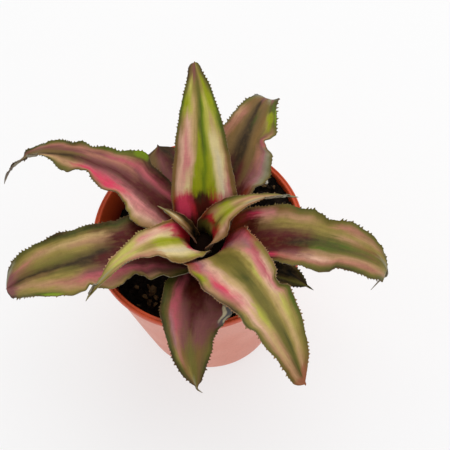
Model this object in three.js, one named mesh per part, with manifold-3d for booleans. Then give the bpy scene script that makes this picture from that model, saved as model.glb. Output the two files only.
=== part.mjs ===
// Earth star bromeliad in its nursery pot.
// Millimetres, +Z up. The origin is the centre of the pot's flat foot, on the surface it stands on.

import * as THREE from "three";
import { mergeVertices } from "three/addons/utils/BufferGeometryUtils.js";
import Module from "manifold-3d";

const wasm = await Module();
wasm.setup();

const radians = THREE.MathUtils.degToRad;
const smoothstep = THREE.MathUtils.smoothstep;
const lerp = THREE.MathUtils.lerp;

// ---- driving dimensions -------------------------------------------------------------------

const GAP = 0.3; // clearance between pieces that touch

// Pot: a tapered cup with a narrow collar and a ring of drain holes
const POT_HEIGHT = 75;
const RIM_RADIUS = 45;
const RIM_WIDTH = 2.4;
const RIM_ROUND = 0.5;
const RIM_GROOVE = 0.35; // the rim's top has a shallow groove between two ridges
const COLLAR_HEIGHT = 3.2;
const COLLAR_STEP = 1.1; // how far the collar stands out from the body
const FOOT_RADIUS = 30.5;
const FOOT_CHAMFER = 1.2;
const WALL = 1.7;
const FLOOR = 2.2;
const POT_SIDES = 64;
const DRAIN_COUNT = 8;
const DRAIN_RADIUS = 2.6;
const DRAIN_CIRCLE = 23;
const DRAIN_SIDES = 12;

// Soil: a plug with a level stretch round the crown, and a crumbly slope beyond it
const SOIL_HEIGHT = 65;
const SOIL_SLOPE = 0.2; // rise of the top for each millimetre towards SOIL_HEADING
const SOIL_HEADING = 20; // degrees in plan
const SOIL_LEVEL_RADIUS = 12;
const SOIL_SLOPE_RADIUS = 35;
const SOIL_CRUMB = 0.9; // height of the crumbs
const SOIL_LUMP = 1.7; // their width, about a sixth of one whole ripple
const SOIL_SIDES = 40;
const SOIL_RINGS = 9;

// Crown: the short stem, a cone whose side carries the leaf bases
const CROWN_X = 1.5;
const CROWN_Y = -4.5;
const CROWN_TOP = 75;
const CROWN_TIP_RADIUS = 2.6;
const CROWN_SPREAD = 1.6; // how fast the crown widens from one leaf base to the next
const CROWN_EASE = 0.83;
const CROWN_SIDES = 24;
const LEAF_STEP_DOWN = 0.7; // each older leaf starts this much lower
const LEAF_SEAT = 0.45; // a leaf base stands this far off the crown's side
const ROOT_DEPTH = 18; // how far the rooted end goes into the soil
const ROOT_RADIUS = 6;
const ROOT_TIP_RADIUS = 2.5;

// Leaf blades and the teeth on their margins
const MID_THICKNESS = 0.9;
const EDGE_THICKNESS = 0.8;
const ACROSS = [-1, -0.52, 0, 0.52, 1]; // points across a blade, as shares of its half width
const SPINE_STEP = 0.5; // step along a leaf's centre line
const SHEATH_LENGTH = 11; // smooth stretch at the base, without teeth
const SHEATH_STEP = 2.75;
const TOOTH_BASE = 1.2;
const TOOTH_GAP = 2.1;
const TOOTH_HEIGHT = 0.8;
const TOOTH_LEAN = 0.24; // how far a tooth's point leans towards the leaf's tip
const TIP_POINT = 2.4; // length of the closing point at the tip
const TIP_SHARE = 0.03; // half width left at the tip, as a share of the widest
const SCALLOP = 0.35; // how far the outline follows a margin's waves
const SIDE_SHIFT = 1.9; // the left margin's waves run ahead of the right one's by this, in radians

// Where along a leaf, as a share of its length, each change runs its course
const WRAP_FADE = [0, 0.4]; // the wrap round the crown opens to the blade's own cup
const WAVE_RISE = [0.1, 0.3];
const WAVE_FADE = [0.8, 1];
const TAIL_RUN = [0.55, 0.85];
const HOOK_RUN = [0.75, 1];

// What a leaf has where its own entry says nothing else
const PLAIN_LEAF = {
  bend: 0, // degrees that the leaf turns in plan, from base to tip
  hook: 0, // degrees that the last quarter curls down further
  neck: 0.85, // width at the base, as a share of the widest
  widest: 0.42, // where it is widest, as a share of its length
  taper: 1.7, // how long it stays wide: above 1 blunt, below 1 drawn out
  tail: 0, // share of the width that the outer half loses, for a thin tail
  wrap: 1.2, // the base wraps the crown by at most this angle to each side, in radians
  cup: 0.03, // curvature across the blade, one over its radius
  left: [], // lobes and notches of a margin: place along the leaf, how far out and how far up
  right: [],
};

// Youngest leaf first. heading is the direction in plan at the base, in degrees from +X towards
// +Y, and pitch is the rise above level at the base, at a third, at two thirds and at the tip.
const LEAVES = [
  {
    heading: 154, pitch: [82, 60, 45, 22], length: 25, width: 6, cup: 0.3, wrap: 1.6, wave: 0.1,
    wavelength: 12, colour: 0xa3a06a,
  },
  {
    heading: 14, bend: -22, pitch: [86, 62, -8, -14], length: 49, width: 16, neck: 0.9,
    widest: 0.14, taper: 0.72, cup: 0.11, wrap: 1.7, wave: 0.3, wavelength: 13, colour: 0x9aa860,
    left: [
      [0, 0, 0], [10, 0.5, 0], [17, 1.4, 0], [20, 1.3, 0], [24, 0.7, 0], [30, 0, 0], [36, -0.6, 0],
      [41, 0, 0],
    ],
    right: [
      [0, 0, 0], [6, 1, -1], [10, 2.4, -2], [15, 3, -2.5], [17.5, 3.2, -1], [20.5, 0.7, 0],
      [26, 0.1, 0], [33, -0.3, 0], [38, -1, 0], [47, -0.8, 0],
    ],
  },
  {
    heading: 206, bend: 15, pitch: [79, 38, 6, -42], length: 65, width: 21, neck: 0.9,
    widest: 0.18, taper: 0.78, cup: 0.06, wrap: 1.6, wave: 0.6, wavelength: 15, colour: 0xb8c070,
    left: [
      [0, 0, 0], [6, 1.8, -1], [12, 3.6, -2], [18, 4.7, -2.3], [27, 5.1, -1], [29, 3.1, -0.5],
      [31.5, 1.2, -0.2], [34, 1, 0], [38, -0.9, 0], [43, -0.9, 0], [48, -0.2, 0], [60, 0.5, 0],
    ],
    right: [
      [18, 0, 0], [23, 0.6, 0], [36, 0.8, 0], [46, 0, 0], [52, -0.3, 0], [60, -1, 0],
    ],
  },
  {
    heading: 78, bend: 16, pitch: [74, 56, 40, 25], length: 76, width: 25.5, widest: 0.28,
    taper: 1.9, cup: 0.035, wave: 0.4, wavelength: 22, colour: 0x8fa048,
    left: [
      [0, 0, 0], [12, 1.3, 0], [20, 0.8, 0], [30, 0.3, 0], [38, 0, 0], [47, 0.9, 0], [60, 1.1, 0],
      [70, 1.5, 0],
    ],
    right: [
      [0, 0, 0], [10, 2.5, 0], [18, 2.8, 0], [26, 1.2, 0], [34, 0.3, 0], [42, -0.4, 0], [55, 0, 0],
      [70, 0.5, 0],
    ],
  },
  {
    heading: 296, bend: -10, pitch: [70, 36, 0, -35], length: 96, width: 27, widest: 0.38,
    taper: 2.3, wrap: 0.93, wave: 0.5, wavelength: 20, colour: 0x8a8f55,
    left: [
      [0, 0, 0], [8, 2, 0], [12, 4.5, 0], [16, 4, 0], [20, 2.2, 0], [26, 1, 0], [36, -0.4, 0],
      [46, -1.2, 0], [50, -2, 0], [54, -4.2, 0], [57, -3.8, 0], [60.5, -0.4, 0], [76, 0, 0],
      [86, 1, 0], [93, 0, 0],
    ],
    right: [
      [0, 0, 0], [8, 3, 0], [13, 4, 0], [20, 2.8, -0.3], [28, 3.9, -0.3], [34, 3.2, 0],
      [43, 4.4, 0], [49, 3.3, 0], [57, 1, 0], [61, 0.2, 0], [67, 1.2, 0], [70, -0.3, 0],
      [76, 0.5, 0], [82, 0.6, 0], [90, 1.8, 0], [94, 2.5, 0],
    ],
  },
  {
    heading: 139.5, bend: 42, pitch: [56, 9, 6, -102], hook: -26, length: 112, width: 22,
    widest: 0.34, taper: 1.1, tail: 0.8, wrap: 1, wave: 1.1, wavelength: 12, colour: 0x9c6a72,
    left: [
      [0, 0, 0], [10, 1.5, 0.6], [17, 3.4, 1], [22, 4.6, 0.6], [25, 4.4, 0], [28, 1.6, 0],
      [31, -1.3, 0], [36, -2.5, 0], [43, -1.1, 0], [47, -1.2, 0], [53, -4, 0], [55.5, -3, 0],
      [60, 1.5, 0], [63, 1.1, 0], [70, -1.3, 0], [74, -1.4, 0], [78, -2.5, 0], [84, -1.2, 0],
      [92, -1, 0],
    ],
    right: [
      [0, 0, 0], [22, 0.9, 0], [27, 0.2, 0], [30, 1.1, 0], [35, 3.4, 0], [41, 1.3, 0],
      [48, -1.4, 0], [54, -2.2, 0], [60, -1.5, 0], [63, -2.5, 0], [69, 0.4, 0], [75, 0.1, 0],
      [80.5, 3, 0], [86, 1.1, 0], [92, 1.5, 0],
    ],
  },
  {
    heading: 338.5, bend: -5, pitch: [60, 24, 0, -35], hook: 70, length: 90, width: 27,
    taper: 1.9, wrap: 0.9, wave: 0.9, wavelength: 18, colour: 0x8d8a5c,
    left: [
      [0, 0, 0], [12, 1.9, 0], [26, 2, 0], [33, 0.8, 0], [40, 0.1, 0], [45, 0.4, 0],
      [48, -1.5, 0], [52.5, -3, 0], [56, -1.6, 0], [58, 0, 0], [61.5, 1.3, 0], [67, 0, 0],
      [74, -0.3, 0], [79, -0.2, 0], [84, -1.5, 0],
    ],
    right: [
      [0, 0, 0], [30, -1, 0], [36, -1.2, 0], [40, 0.4, 0], [43, 1.1, 0], [47, 0.3, 0],
      [50, 1.1, 0], [55, 2.7, 0], [58, 2.6, 0], [60.5, 0.5, 0], [67, 0.4, 0], [70, 1, 0],
      [75, 2.8, 0], [80, 2.1, 0], [86, 1.5, 0],
    ],
  },
  {
    heading: 193.3, bend: -9, pitch: [52, 17, -1, -18], hook: 28, length: 82, width: 31,
    neck: 0.95, widest: 0.48, taper: 3, wrap: 1, wave: 0.9, wavelength: 17, colour: 0x8f8c60,
    left: [
      [0, 0, 0], [5, 1.4, 0], [10, 2.5, 0], [15, 3.1, 0], [18, 1.3, 0], [22.5, 1.9, 0],
      [25, -1.2, 0], [28, -2.6, 0], [32, -0.2, 0], [35, 2, 0], [38, 2.6, 0], [43, 0.6, 0],
      [46, -1.7, 0], [49, 1.2, 0], [53, 2.3, 0], [58, 0.6, 0], [62, 0, 0], [67, 0.2, 0],
      [72, 0.2, 0], [78, 0.5, 0],
    ],
    right: [
      [0, 0, 0], [12, 0.3, -0.8], [24, 0.7, 0], [30, -0.6, 0], [36, -2.3, 0], [42, -1, 0],
      [50, -2, 0], [56, -2.5, 0], [62, -1.8, 0], [67, -1.5, 0], [72, -0.8, 0], [78, 0.5, 0],
    ],
  },
  {
    heading: 58, bend: 3, pitch: [52, 28, 6, -20], hook: 60, length: 72, width: 25, neck: 0.93,
    taper: 2.2, wave: 0.8, wavelength: 16, colour: 0x7c7048,
    left: [
      [38, 0, 0], [45, -1.6, 0], [50, -0.5, 0], [55, 0.3, 0], [62, -0.6, 0], [68, -0.5, 0],
    ],
    right: [
      [17, 0, 0], [22, 0.6, 0], [25, 3.2, 0], [28, 4.1, 0], [33, 2.8, 0], [36.5, 2.2, 0],
      [39, -1.5, 0], [41.5, -3.4, 0], [44, -1, 0], [46, 0.5, 0], [50, -0.3, 0], [60, -1, 0],
      [65, -0.2, 0], [69, 1.2, 0],
    ],
  },
  {
    heading: 256, bend: 24, pitch: [43, 18, -6, -30], hook: 20, length: 60, width: 25,
    taper: 1.5, wave: 0.7, wavelength: 14, colour: 0x7a4a5a,
    left: [
      [20, 0, 0], [25, 4, 0], [29, 5.5, 0], [32.5, 3.3, 0], [37, 1.1, 0], [41, 0.8, 0],
      [45, 1.9, 0], [50, 1.3, 0], [57, 1.1, 0],
    ],
    right: [
      [36, 0, 0], [40, -0.3, 0], [43, 0, 0], [48, 1.2, 0], [51, 1.3, 0], [57, 0.3, 0],
    ],
  },
  {
    heading: 109, bend: -6, pitch: [38, 24, 9, 6], length: 38, width: 19, taper: 5, wave: 0.6,
    wavelength: 12, colour: 0x5c4038,
  },
  {
    heading: 325, pitch: [40, 32, 12, -25], length: 40, width: 16, wave: 0.6, wavelength: 12,
    colour: 0x45553a,
  },
].map((leaf) => ({ ...PLAIN_LEAF, ...leaf }));

// ---- materials ----------------------------------------------------------------------------

function finish(color, roughness) {
  return new THREE.MeshStandardMaterial({ color, roughness, metalness: 0 });
}

const POT_FINISH = finish(0xc4684a, 0.5);
const SOIL_FINISH = finish(0x241a14, 0.95);
const STEM_FINISH = finish(0x8c8a5e, 0.8);
const LEAF_ROUGHNESS = 0.55;

// ---- meshes and solids --------------------------------------------------------------------

function geometryOf(points, faces) {
  const geometry = new THREE.BufferGeometry();
  const positions = points.flatMap((point) => point.toArray());
  geometry.setAttribute("position", new THREE.Float32BufferAttribute(positions, 3));
  geometry.setIndex(faces.flat());
  geometry.computeVertexNormals();
  return geometry;
}

function solidOf(geometry) {
  geometry.deleteAttribute("normal");
  geometry.deleteAttribute("uv");
  const clean = mergeVertices(geometry);
  const mesh = new wasm.Mesh({
    numProp: 3,
    vertProperties: Float32Array.from(clean.attributes.position.array),
    triVerts: Uint32Array.from(clean.index.array),
  });
  return new wasm.Manifold(mesh);
}

function geometryOfSolid(solid) {
  const mesh = solid.getMesh();
  const geometry = new THREE.BufferGeometry();
  geometry.setAttribute("position", new THREE.Float32BufferAttribute(mesh.vertProperties, 3));
  geometry.setIndex(Array.from(mesh.triVerts));
  geometry.computeVertexNormals();
  return geometry;
}

// Turns a profile of [radius, height] points round the Z axis.
function lathe(profile, sides) {
  const outline = profile.map(([radius, height]) => new THREE.Vector2(radius, height));
  const geometry = new THREE.LatheGeometry(outline, sides);
  geometry.rotateX(Math.PI / 2);
  return geometry;
}

function namedMesh(name, geometry, material) {
  const mesh = new THREE.Mesh(geometry, material);
  mesh.name = name;
  return mesh;
}

// A point at an angle and radius round a centre in plan.
function polar(centreX, centreY, angle, radius, height) {
  const x = centreX + radius * Math.cos(angle);
  const y = centreY + radius * Math.sin(angle);
  return new THREE.Vector3(x, y, height);
}

// ---- pot ----------------------------------------------------------------------------------

const COLLAR_BASE = POT_HEIGHT - COLLAR_HEIGHT;
const BODY_TOP_RADIUS = RIM_RADIUS - COLLAR_STEP;

// Radius of the pot's inner wall at a height.
function innerRadius(height) {
  const outer = lerp(FOOT_RADIUS, BODY_TOP_RADIUS, height / COLLAR_BASE);
  return outer - WALL;
}

function potProfile() {
  return [
    [0, 0],
    [FOOT_RADIUS - FOOT_CHAMFER, 0],
    [FOOT_RADIUS, FOOT_CHAMFER],
    [BODY_TOP_RADIUS, COLLAR_BASE],
    [RIM_RADIUS - RIM_ROUND, COLLAR_BASE],
    [RIM_RADIUS, COLLAR_BASE + RIM_ROUND],
    [RIM_RADIUS, POT_HEIGHT - RIM_ROUND],
    [RIM_RADIUS - RIM_ROUND, POT_HEIGHT],
    [RIM_RADIUS - 0.5 * RIM_WIDTH, POT_HEIGHT - RIM_GROOVE],
    [RIM_RADIUS - RIM_WIDTH + RIM_ROUND, POT_HEIGHT],
    [RIM_RADIUS - RIM_WIDTH, POT_HEIGHT - RIM_ROUND],
    [innerRadius(COLLAR_BASE), COLLAR_BASE],
    [innerRadius(FLOOR), FLOOR],
    [0, FLOOR],
  ];
}

function drainSolid(index) {
  const angle = ((index + 0.5) / DRAIN_COUNT) * 2 * Math.PI;
  const centre = polar(0, 0, angle, DRAIN_CIRCLE, FLOOR / 2);
  const drain = new THREE.CylinderGeometry(DRAIN_RADIUS, DRAIN_RADIUS, 3 * FLOOR, DRAIN_SIDES);
  drain.rotateX(Math.PI / 2);
  drain.translate(...centre.toArray());
  return solidOf(drain);
}

function potGeometry() {
  let pot = solidOf(lathe(potProfile(), POT_SIDES));
  for (let index = 0; index < DRAIN_COUNT; index += 1) {
    pot = pot.subtract(drainSolid(index));
  }
  return geometryOfSolid(pot);
}

// ---- crown --------------------------------------------------------------------------------

// Radius and height on the crown where the base of a leaf stands; 0 is the youngest leaf.
function seatRadius(index) {
  return CROWN_TIP_RADIUS + CROWN_SPREAD * index ** CROWN_EASE;
}

function seatHeight(index) {
  return CROWN_TOP - LEAF_STEP_DOWN * index;
}

const CROWN_BASE = seatHeight(LEAVES.length);

function crownGeometry() {
  const profile = [
    [0, CROWN_BASE - ROOT_DEPTH],
    [ROOT_TIP_RADIUS, CROWN_BASE - ROOT_DEPTH + 1],
    [ROOT_RADIUS, CROWN_BASE - 1],
  ];
  for (let index = LEAVES.length; index >= 0; index -= 2) {
    profile.push([seatRadius(index) - LEAF_SEAT, seatHeight(index)]);
  }
  profile.push([0, CROWN_TOP + 0.5]);
  const geometry = lathe(profile, CROWN_SIDES);
  geometry.translate(CROWN_X, CROWN_Y, 0);
  return geometry;
}

// ---- soil ---------------------------------------------------------------------------------

// Height of the soil's top at a place in plan.
function soilHeight(x, y) {
  const heading = radians(SOIL_HEADING);
  const fromCrown = Math.hypot(x - CROWN_X, y - CROWN_Y);
  const away = smoothstep(fromCrown, SOIL_LEVEL_RADIUS, SOIL_SLOPE_RADIUS);
  const slope = SOIL_SLOPE * (x * Math.cos(heading) + y * Math.sin(heading));
  const coarse = Math.sin(x / SOIL_LUMP + 1.3) * Math.cos(y / SOIL_LUMP);
  const fine = 0.6 * Math.sin((2.2 * x - 1.8 * y) / SOIL_LUMP);
  return SOIL_HEIGHT + away * (slope + SOIL_CRUMB * (coarse + fine));
}

function soilWallPoint(angle, height) {
  return polar(0, 0, angle, innerRadius(height) - GAP, height);
}

// A point of the soil's top: share 0 is the edge of the stem's hole, share 1 the pot's wall.
function soilTopPoint(angle, share) {
  const inner = polar(CROWN_X, CROWN_Y, angle, ROOT_RADIUS + GAP, 0);
  const edge = soilWallPoint(angle, SOIL_HEIGHT);
  const outer = soilWallPoint(angle, soilHeight(edge.x, edge.y) - 2 * SOIL_CRUMB);
  const point = inner.lerp(outer, share);
  point.z = soilHeight(point.x, point.y);
  return point;
}

// A plug made of rings, from the bottom of the stem's hole, over the top and down the wall.
function soilGeometry() {
  const holeFloor = CROWN_BASE - ROOT_DEPTH - GAP;
  const rings = [(angle) => polar(CROWN_X, CROWN_Y, angle, ROOT_TIP_RADIUS + GAP, holeFloor + 1)];
  for (let i = 0; i <= SOIL_RINGS; i += 1) {
    rings.push((angle) => soilTopPoint(angle, i / SOIL_RINGS));
  }
  rings.push((angle) => soilWallPoint(angle, FLOOR + GAP));
  const points = [new THREE.Vector3(CROWN_X, CROWN_Y, holeFloor)];
  for (const ring of rings) {
    for (let k = 0; k < SOIL_SIDES; k += 1) {
      points.push(ring((k / SOIL_SIDES) * 2 * Math.PI));
    }
  }
  const bottom = points.push(new THREE.Vector3(0, 0, FLOOR + GAP)) - 1;
  return geometryOf(points, ringFaces(rings.length, SOIL_SIDES, bottom));
}

// Faces between rings of points, closed by the first point and by the last one.
function ringFaces(ringCount, sides, last) {
  const faces = [];
  const at = (ring, k) => 1 + ring * sides + (k % sides);
  for (let k = 0; k < sides; k += 1) {
    faces.push([0, at(0, k), at(0, k + 1)]);
    for (let ring = 0; ring + 1 < ringCount; ring += 1) {
      faces.push([at(ring, k), at(ring + 1, k), at(ring + 1, k + 1)]);
      faces.push([at(ring, k), at(ring + 1, k + 1), at(ring, k + 1)]);
    }
    faces.push([at(ringCount - 1, k), last, at(ringCount - 1, k + 1)]);
  }
  return faces;
}

// ---- leaves -------------------------------------------------------------------------------

// Distances along a leaf where its cross-sections stand, and whether teeth grow up to the next.
function stationsOf(length) {
  const stations = [];
  for (let s = 0; s < SHEATH_LENGTH; s += SHEATH_STEP) {
    stations.push({ s, tooth: false });
  }
  const toothed = length - TIP_POINT - SHEATH_LENGTH;
  const count = Math.round(toothed / (TOOTH_BASE + TOOTH_GAP));
  for (let i = 0; i < count; i += 1) {
    const s = SHEATH_LENGTH + (i * toothed) / count;
    stations.push({ s, tooth: true });
    stations.push({ s: s + TOOTH_BASE, tooth: false });
  }
  stations.push({ s: length - TIP_POINT, tooth: false });
  return stations;
}

// Smooth run through four control values.
function bezier([a, b, c, d], q) {
  const p = 1 - q;
  return p * p * p * a + 3 * p * p * q * b + 3 * p * q * q * c + q * q * q * d;
}

// Half width along a blade: a sheath, a swell, and a taper to the tip.
function halfWidth(leaf, q) {
  if (q < leaf.widest) {
    return 0.5 * leaf.width * lerp(leaf.neck, 1, smoothstep(q, 0, leaf.widest));
  }
  const t = (q - leaf.widest) / (1 - leaf.widest);
  const tail = 1 - leaf.tail * smoothstep(q, ...TAIL_RUN);
  return 0.5 * leaf.width * Math.max((1 - t ** leaf.taper) * tail, TIP_SHARE);
}

// The centre line, stepped from the base: a place and three directions for each step.
function spineOf(leaf, index) {
  const heading = radians(leaf.heading);
  const place = polar(CROWN_X, CROWN_Y, heading, seatRadius(index), seatHeight(index));
  const frames = [];
  for (let s = 0; s <= leaf.length + SPINE_STEP; s += SPINE_STEP) {
    const q = Math.min(s / leaf.length, 1);
    const yaw = heading + radians(leaf.bend) * q * q;
    const rise = radians(bezier(leaf.pitch, q) - leaf.hook * smoothstep(q, ...HOOK_RUN));
    const along = polar(0, 0, yaw, Math.cos(rise), Math.sin(rise));
    const side = new THREE.Vector3(-Math.sin(yaw), Math.cos(yaw), 0);
    const up = new THREE.Vector3().crossVectors(along, side);
    frames.push({ place: place.clone(), along, side, up });
    place.addScaledVector(along, SPINE_STEP);
  }
  return frames;
}

function frameAt(spine, s) {
  return spine[Math.min(Math.round(s / SPINE_STEP), spine.length - 1)];
}

// How far one margin is pushed out and up at a distance along the leaf; nothing near the tip.
function marginShape(leaf, s, u) {
  const points = u > 0 ? leaf.left : leaf.right;
  const fade = 1 - smoothstep(s, leaf.length - TIP_POINT, leaf.length);
  for (let i = 0; i + 1 < points.length; i += 1) {
    const [near, out, up] = points[i];
    const [far, nextOut, nextUp] = points[i + 1];
    if (near <= s && s < far) {
      const t = smoothstep(s, near, far);
      return [fade * lerp(out, nextOut, t), fade * lerp(up, nextUp, t)];
    }
  }
  if (points.length === 0 || s < points[0][0]) {
    return [0, 0];
  }
  const [, out, up] = points[points.length - 1];
  return [fade * out, fade * up];
}

// One cross-section: points of the upper and the lower face, from the right margin to the left.
function sectionOf(leaf, index, frame, s) {
  const q = s / leaf.length;
  const half = halfWidth(leaf, q);
  const wrapped = Math.min(1 / seatRadius(index), leaf.wrap / half);
  const curl = lerp(wrapped, leaf.cup, smoothstep(q, ...WRAP_FADE));
  const swing = leaf.wave * smoothstep(q, ...WAVE_RISE) * (1 - smoothstep(q, ...WAVE_FADE));
  const section = { upper: [], lower: [] };
  for (const u of ACROSS) {
    const phase = (2 * Math.PI * s) / leaf.wavelength + (u > 0 ? SIDE_SHIFT : 0);
    const edge = Math.abs(u) ** 3;
    const scallop = SCALLOP * swing * Math.cos(phase);
    const turn = curl * (half * u + edge * Math.sign(u) * scallop);
    const [out, up] = marginShape(leaf, s, u);
    const outward = Math.sin(turn) / curl + Math.sign(u) * u * u * out;
    const upward = (1 - Math.cos(turn)) / curl + swing * edge * Math.sin(phase) + u * u * up;
    const top = frame.place.clone();
    top.addScaledVector(frame.side, outward);
    top.addScaledVector(frame.up, upward);
    const down = frame.side.clone().multiplyScalar(Math.sin(turn));
    down.addScaledVector(frame.up, -Math.cos(turn));
    const thickness = lerp(MID_THICKNESS, EDGE_THICKNESS, Math.abs(u));
    section.upper.push(top);
    section.lower.push(top.clone().addScaledVector(down, thickness));
  }
  return section;
}

// The point of a tooth: out from the margin, leaning towards the leaf's tip.
function toothPoint(points, corners, row, edge) {
  const point = new THREE.Vector3();
  corners.forEach((corner) => point.addScaledVector(points[corner], 1 / corners.length));
  const neighbour = edge === 0 ? 1 : edge - 1;
  const out = points[row.upper[edge]].clone().sub(points[row.upper[neighbour]]).normalize();
  return point.addScaledVector(out, TOOTH_HEIGHT).addScaledVector(row.along, TOOTH_LEAN);
}

function addQuad(faces, a, b, c, d) {
  faces.push([a, b, c], [a, c, d]);
}

// Both faces of the blade between two cross-sections, split along the same diagonals.
function addBlade(faces, near, far) {
  for (let k = 0; k + 1 < ACROSS.length; k += 1) {
    addQuad(faces, near.upper[k], far.upper[k], far.upper[k + 1], near.upper[k + 1]);
    faces.push([near.lower[k], far.lower[k + 1], far.lower[k]]);
    faces.push([near.lower[k], near.lower[k + 1], far.lower[k + 1]]);
  }
}

// One margin between two cross-sections: a plain strip, or the four sides of a tooth.
function addMargin(points, faces, near, far, edge, tooth) {
  const corners = [near.upper[edge], near.lower[edge], far.lower[edge], far.upper[edge]];
  if (edge > 0) {
    corners.reverse();
  }
  if (!tooth) {
    addQuad(faces, ...corners);
    return;
  }
  const apex = points.push(toothPoint(points, corners, near, edge)) - 1;
  corners.forEach((corner, c) => faces.push([corner, corners[(c + 1) % corners.length], apex]));
}

function addBase(faces, row) {
  for (let k = 0; k + 1 < ACROSS.length; k += 1) {
    addQuad(faces, row.upper[k], row.upper[k + 1], row.lower[k + 1], row.lower[k]);
  }
}

function addTip(points, faces, row, frame) {
  const place = frame.place.clone().addScaledVector(frame.up, -0.5 * MID_THICKNESS);
  const tip = points.push(place) - 1;
  const last = ACROSS.length - 1;
  for (let k = 0; k < last; k += 1) {
    faces.push([row.upper[k], tip, row.upper[k + 1]]);
    faces.push([row.lower[k + 1], tip, row.lower[k]]);
  }
  faces.push([row.lower[0], tip, row.upper[0]]);
  faces.push([row.upper[last], tip, row.lower[last]]);
}

function leafGeometry(leaf, index) {
  const spine = spineOf(leaf, index);
  const stations = stationsOf(leaf.length);
  const points = [];
  const faces = [];
  const keep = (point) => points.push(point) - 1;
  const rows = stations.map(({ s }) => {
    const frame = frameAt(spine, s);
    const section = sectionOf(leaf, index, frame, s);
    return { upper: section.upper.map(keep), lower: section.lower.map(keep), along: frame.along };
  });
  for (let i = 0; i + 1 < rows.length; i += 1) {
    addBlade(faces, rows[i], rows[i + 1]);
    addMargin(points, faces, rows[i], rows[i + 1], 0, stations[i].tooth);
    addMargin(points, faces, rows[i], rows[i + 1], ACROSS.length - 1, stations[i].tooth);
  }
  addBase(faces, rows[0]);
  addTip(points, faces, rows[rows.length - 1], frameAt(spine, leaf.length));
  return geometryOf(points, faces);
}

// ---- assembly -----------------------------------------------------------------------------

const plant = new THREE.Group();
plant.add(namedMesh("pot", potGeometry(), POT_FINISH));
plant.add(namedMesh("soil", soilGeometry(), SOIL_FINISH));
plant.add(namedMesh("crown_stem", crownGeometry(), STEM_FINISH));
LEAVES.forEach((leaf, index) => {
  const name = `leaf_${String(index + 1).padStart(2, "0")}`;
  plant.add(namedMesh(name, leafGeometry(leaf, index), finish(leaf.colour, LEAF_ROUGHNESS)));
});

export default plant;
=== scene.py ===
"""Looks of an earth star bromeliad in its nursery pot.

Lengths are millimetres until a mesh is written, which is in metres, +Z up. The origin is the
centre of the pot's foot.
"""

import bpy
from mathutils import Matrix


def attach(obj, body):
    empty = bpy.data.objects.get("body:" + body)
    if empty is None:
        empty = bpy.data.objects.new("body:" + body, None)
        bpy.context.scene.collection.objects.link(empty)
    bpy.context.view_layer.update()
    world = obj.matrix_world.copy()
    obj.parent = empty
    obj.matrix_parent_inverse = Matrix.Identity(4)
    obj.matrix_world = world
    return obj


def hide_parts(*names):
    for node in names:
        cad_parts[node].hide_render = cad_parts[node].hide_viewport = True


bl_info = {
    "name": "Earth star bromeliad",
    "version": (1, 0, 0),
    "blender": (4, 5, 0),
    "location": "3D View > Sidebar > Earth Star",
    "description": "Builds a striped earth star bromeliad in its nursery pot",
    "category": "Add Mesh",
}

import math
import random

import bpy
from bpy.props import (
    FloatProperty,
    FloatVectorProperty,
    IntProperty,
    PointerProperty,
)
from mathutils import Matrix, Vector, noise

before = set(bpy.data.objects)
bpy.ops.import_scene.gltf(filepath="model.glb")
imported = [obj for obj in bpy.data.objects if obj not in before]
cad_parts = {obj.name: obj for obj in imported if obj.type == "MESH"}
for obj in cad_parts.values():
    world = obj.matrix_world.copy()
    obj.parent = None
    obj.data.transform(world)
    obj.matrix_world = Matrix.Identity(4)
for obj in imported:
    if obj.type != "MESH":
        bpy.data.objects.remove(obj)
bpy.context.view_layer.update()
MM = 0.001

# ---- colours ------------------------------------------------------------------------------

# Leaf colours by name: red, green, blue from 0 to 255.
PALETTE = {
    "lime": (150, 158, 28),
    "bright": (132, 160, 40),
    "deep": (108, 128, 22),
    "green": (84, 100, 36),
    "straw": (178, 176, 74),
    "yellow": (190, 182, 92),
    "cream": (226, 208, 150),
    "blush": (222, 176, 150),
    "pink": (212, 136, 132),
    "rose": (190, 94, 104),
    "hot": (214, 68, 96),
    "red": (184, 48, 58),
    "wine": (84, 30, 20),
    "plum": (92, 42, 42),
    "mauve": (132, 80, 78),
    "lilac": (170, 116, 118),
    "tan": (180, 138, 102),
    "sand": (196, 164, 112),
    "khaki": (150, 132, 70),
    "olive": (112, 104, 50),
    "moss": (78, 80, 38),
    "dark": (58, 46, 28),
    "edge": (128, 98, 56),
    "brown": (119, 94, 58),
    "dried": (150, 92, 66),
    "grey": (150, 146, 118),
    "steel": (112, 114, 118),
    "bone": (222, 208, 172),
    "clay": (176, 118, 98),
    "rust": (140, 58, 36),
    "black": (16, 12, 8),
}


def linear(colour):
    """A screen colour from 0 to 255 as the linear RGBA that shaders use."""
    channels = []
    for channel in colour:
        c = channel / 255
        channels.append(c / 12.92 if c <= 0.04045 else ((c + 0.055) / 1.055) ** 2.4)
    return (*channels, 1)


# ---- the leaves ---------------------------------------------------------------------------

CROWN_X = 1.5
CROWN_Y = -4.5
CROWN_TOP = 75
CROWN_TIP_RADIUS = 2.6
CROWN_SPREAD = 1.6
CROWN_EASE = 0.83
LEAF_STEP_DOWN = 0.7
SHEATH_LENGTH = 11
TIP_POINT = 2.4
TIP_SHARE = 0.03
SCALLOP = 0.35
SIDE_SHIFT = 1.9
SPINE_STEP = 0.5
SPINE_RADIUS = 0.4
SPINE_TIP_RADIUS = 0.07
SHEATH_ROWS = 12
TIP_ROWS = 8
SPINE_ROWS = 4

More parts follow.
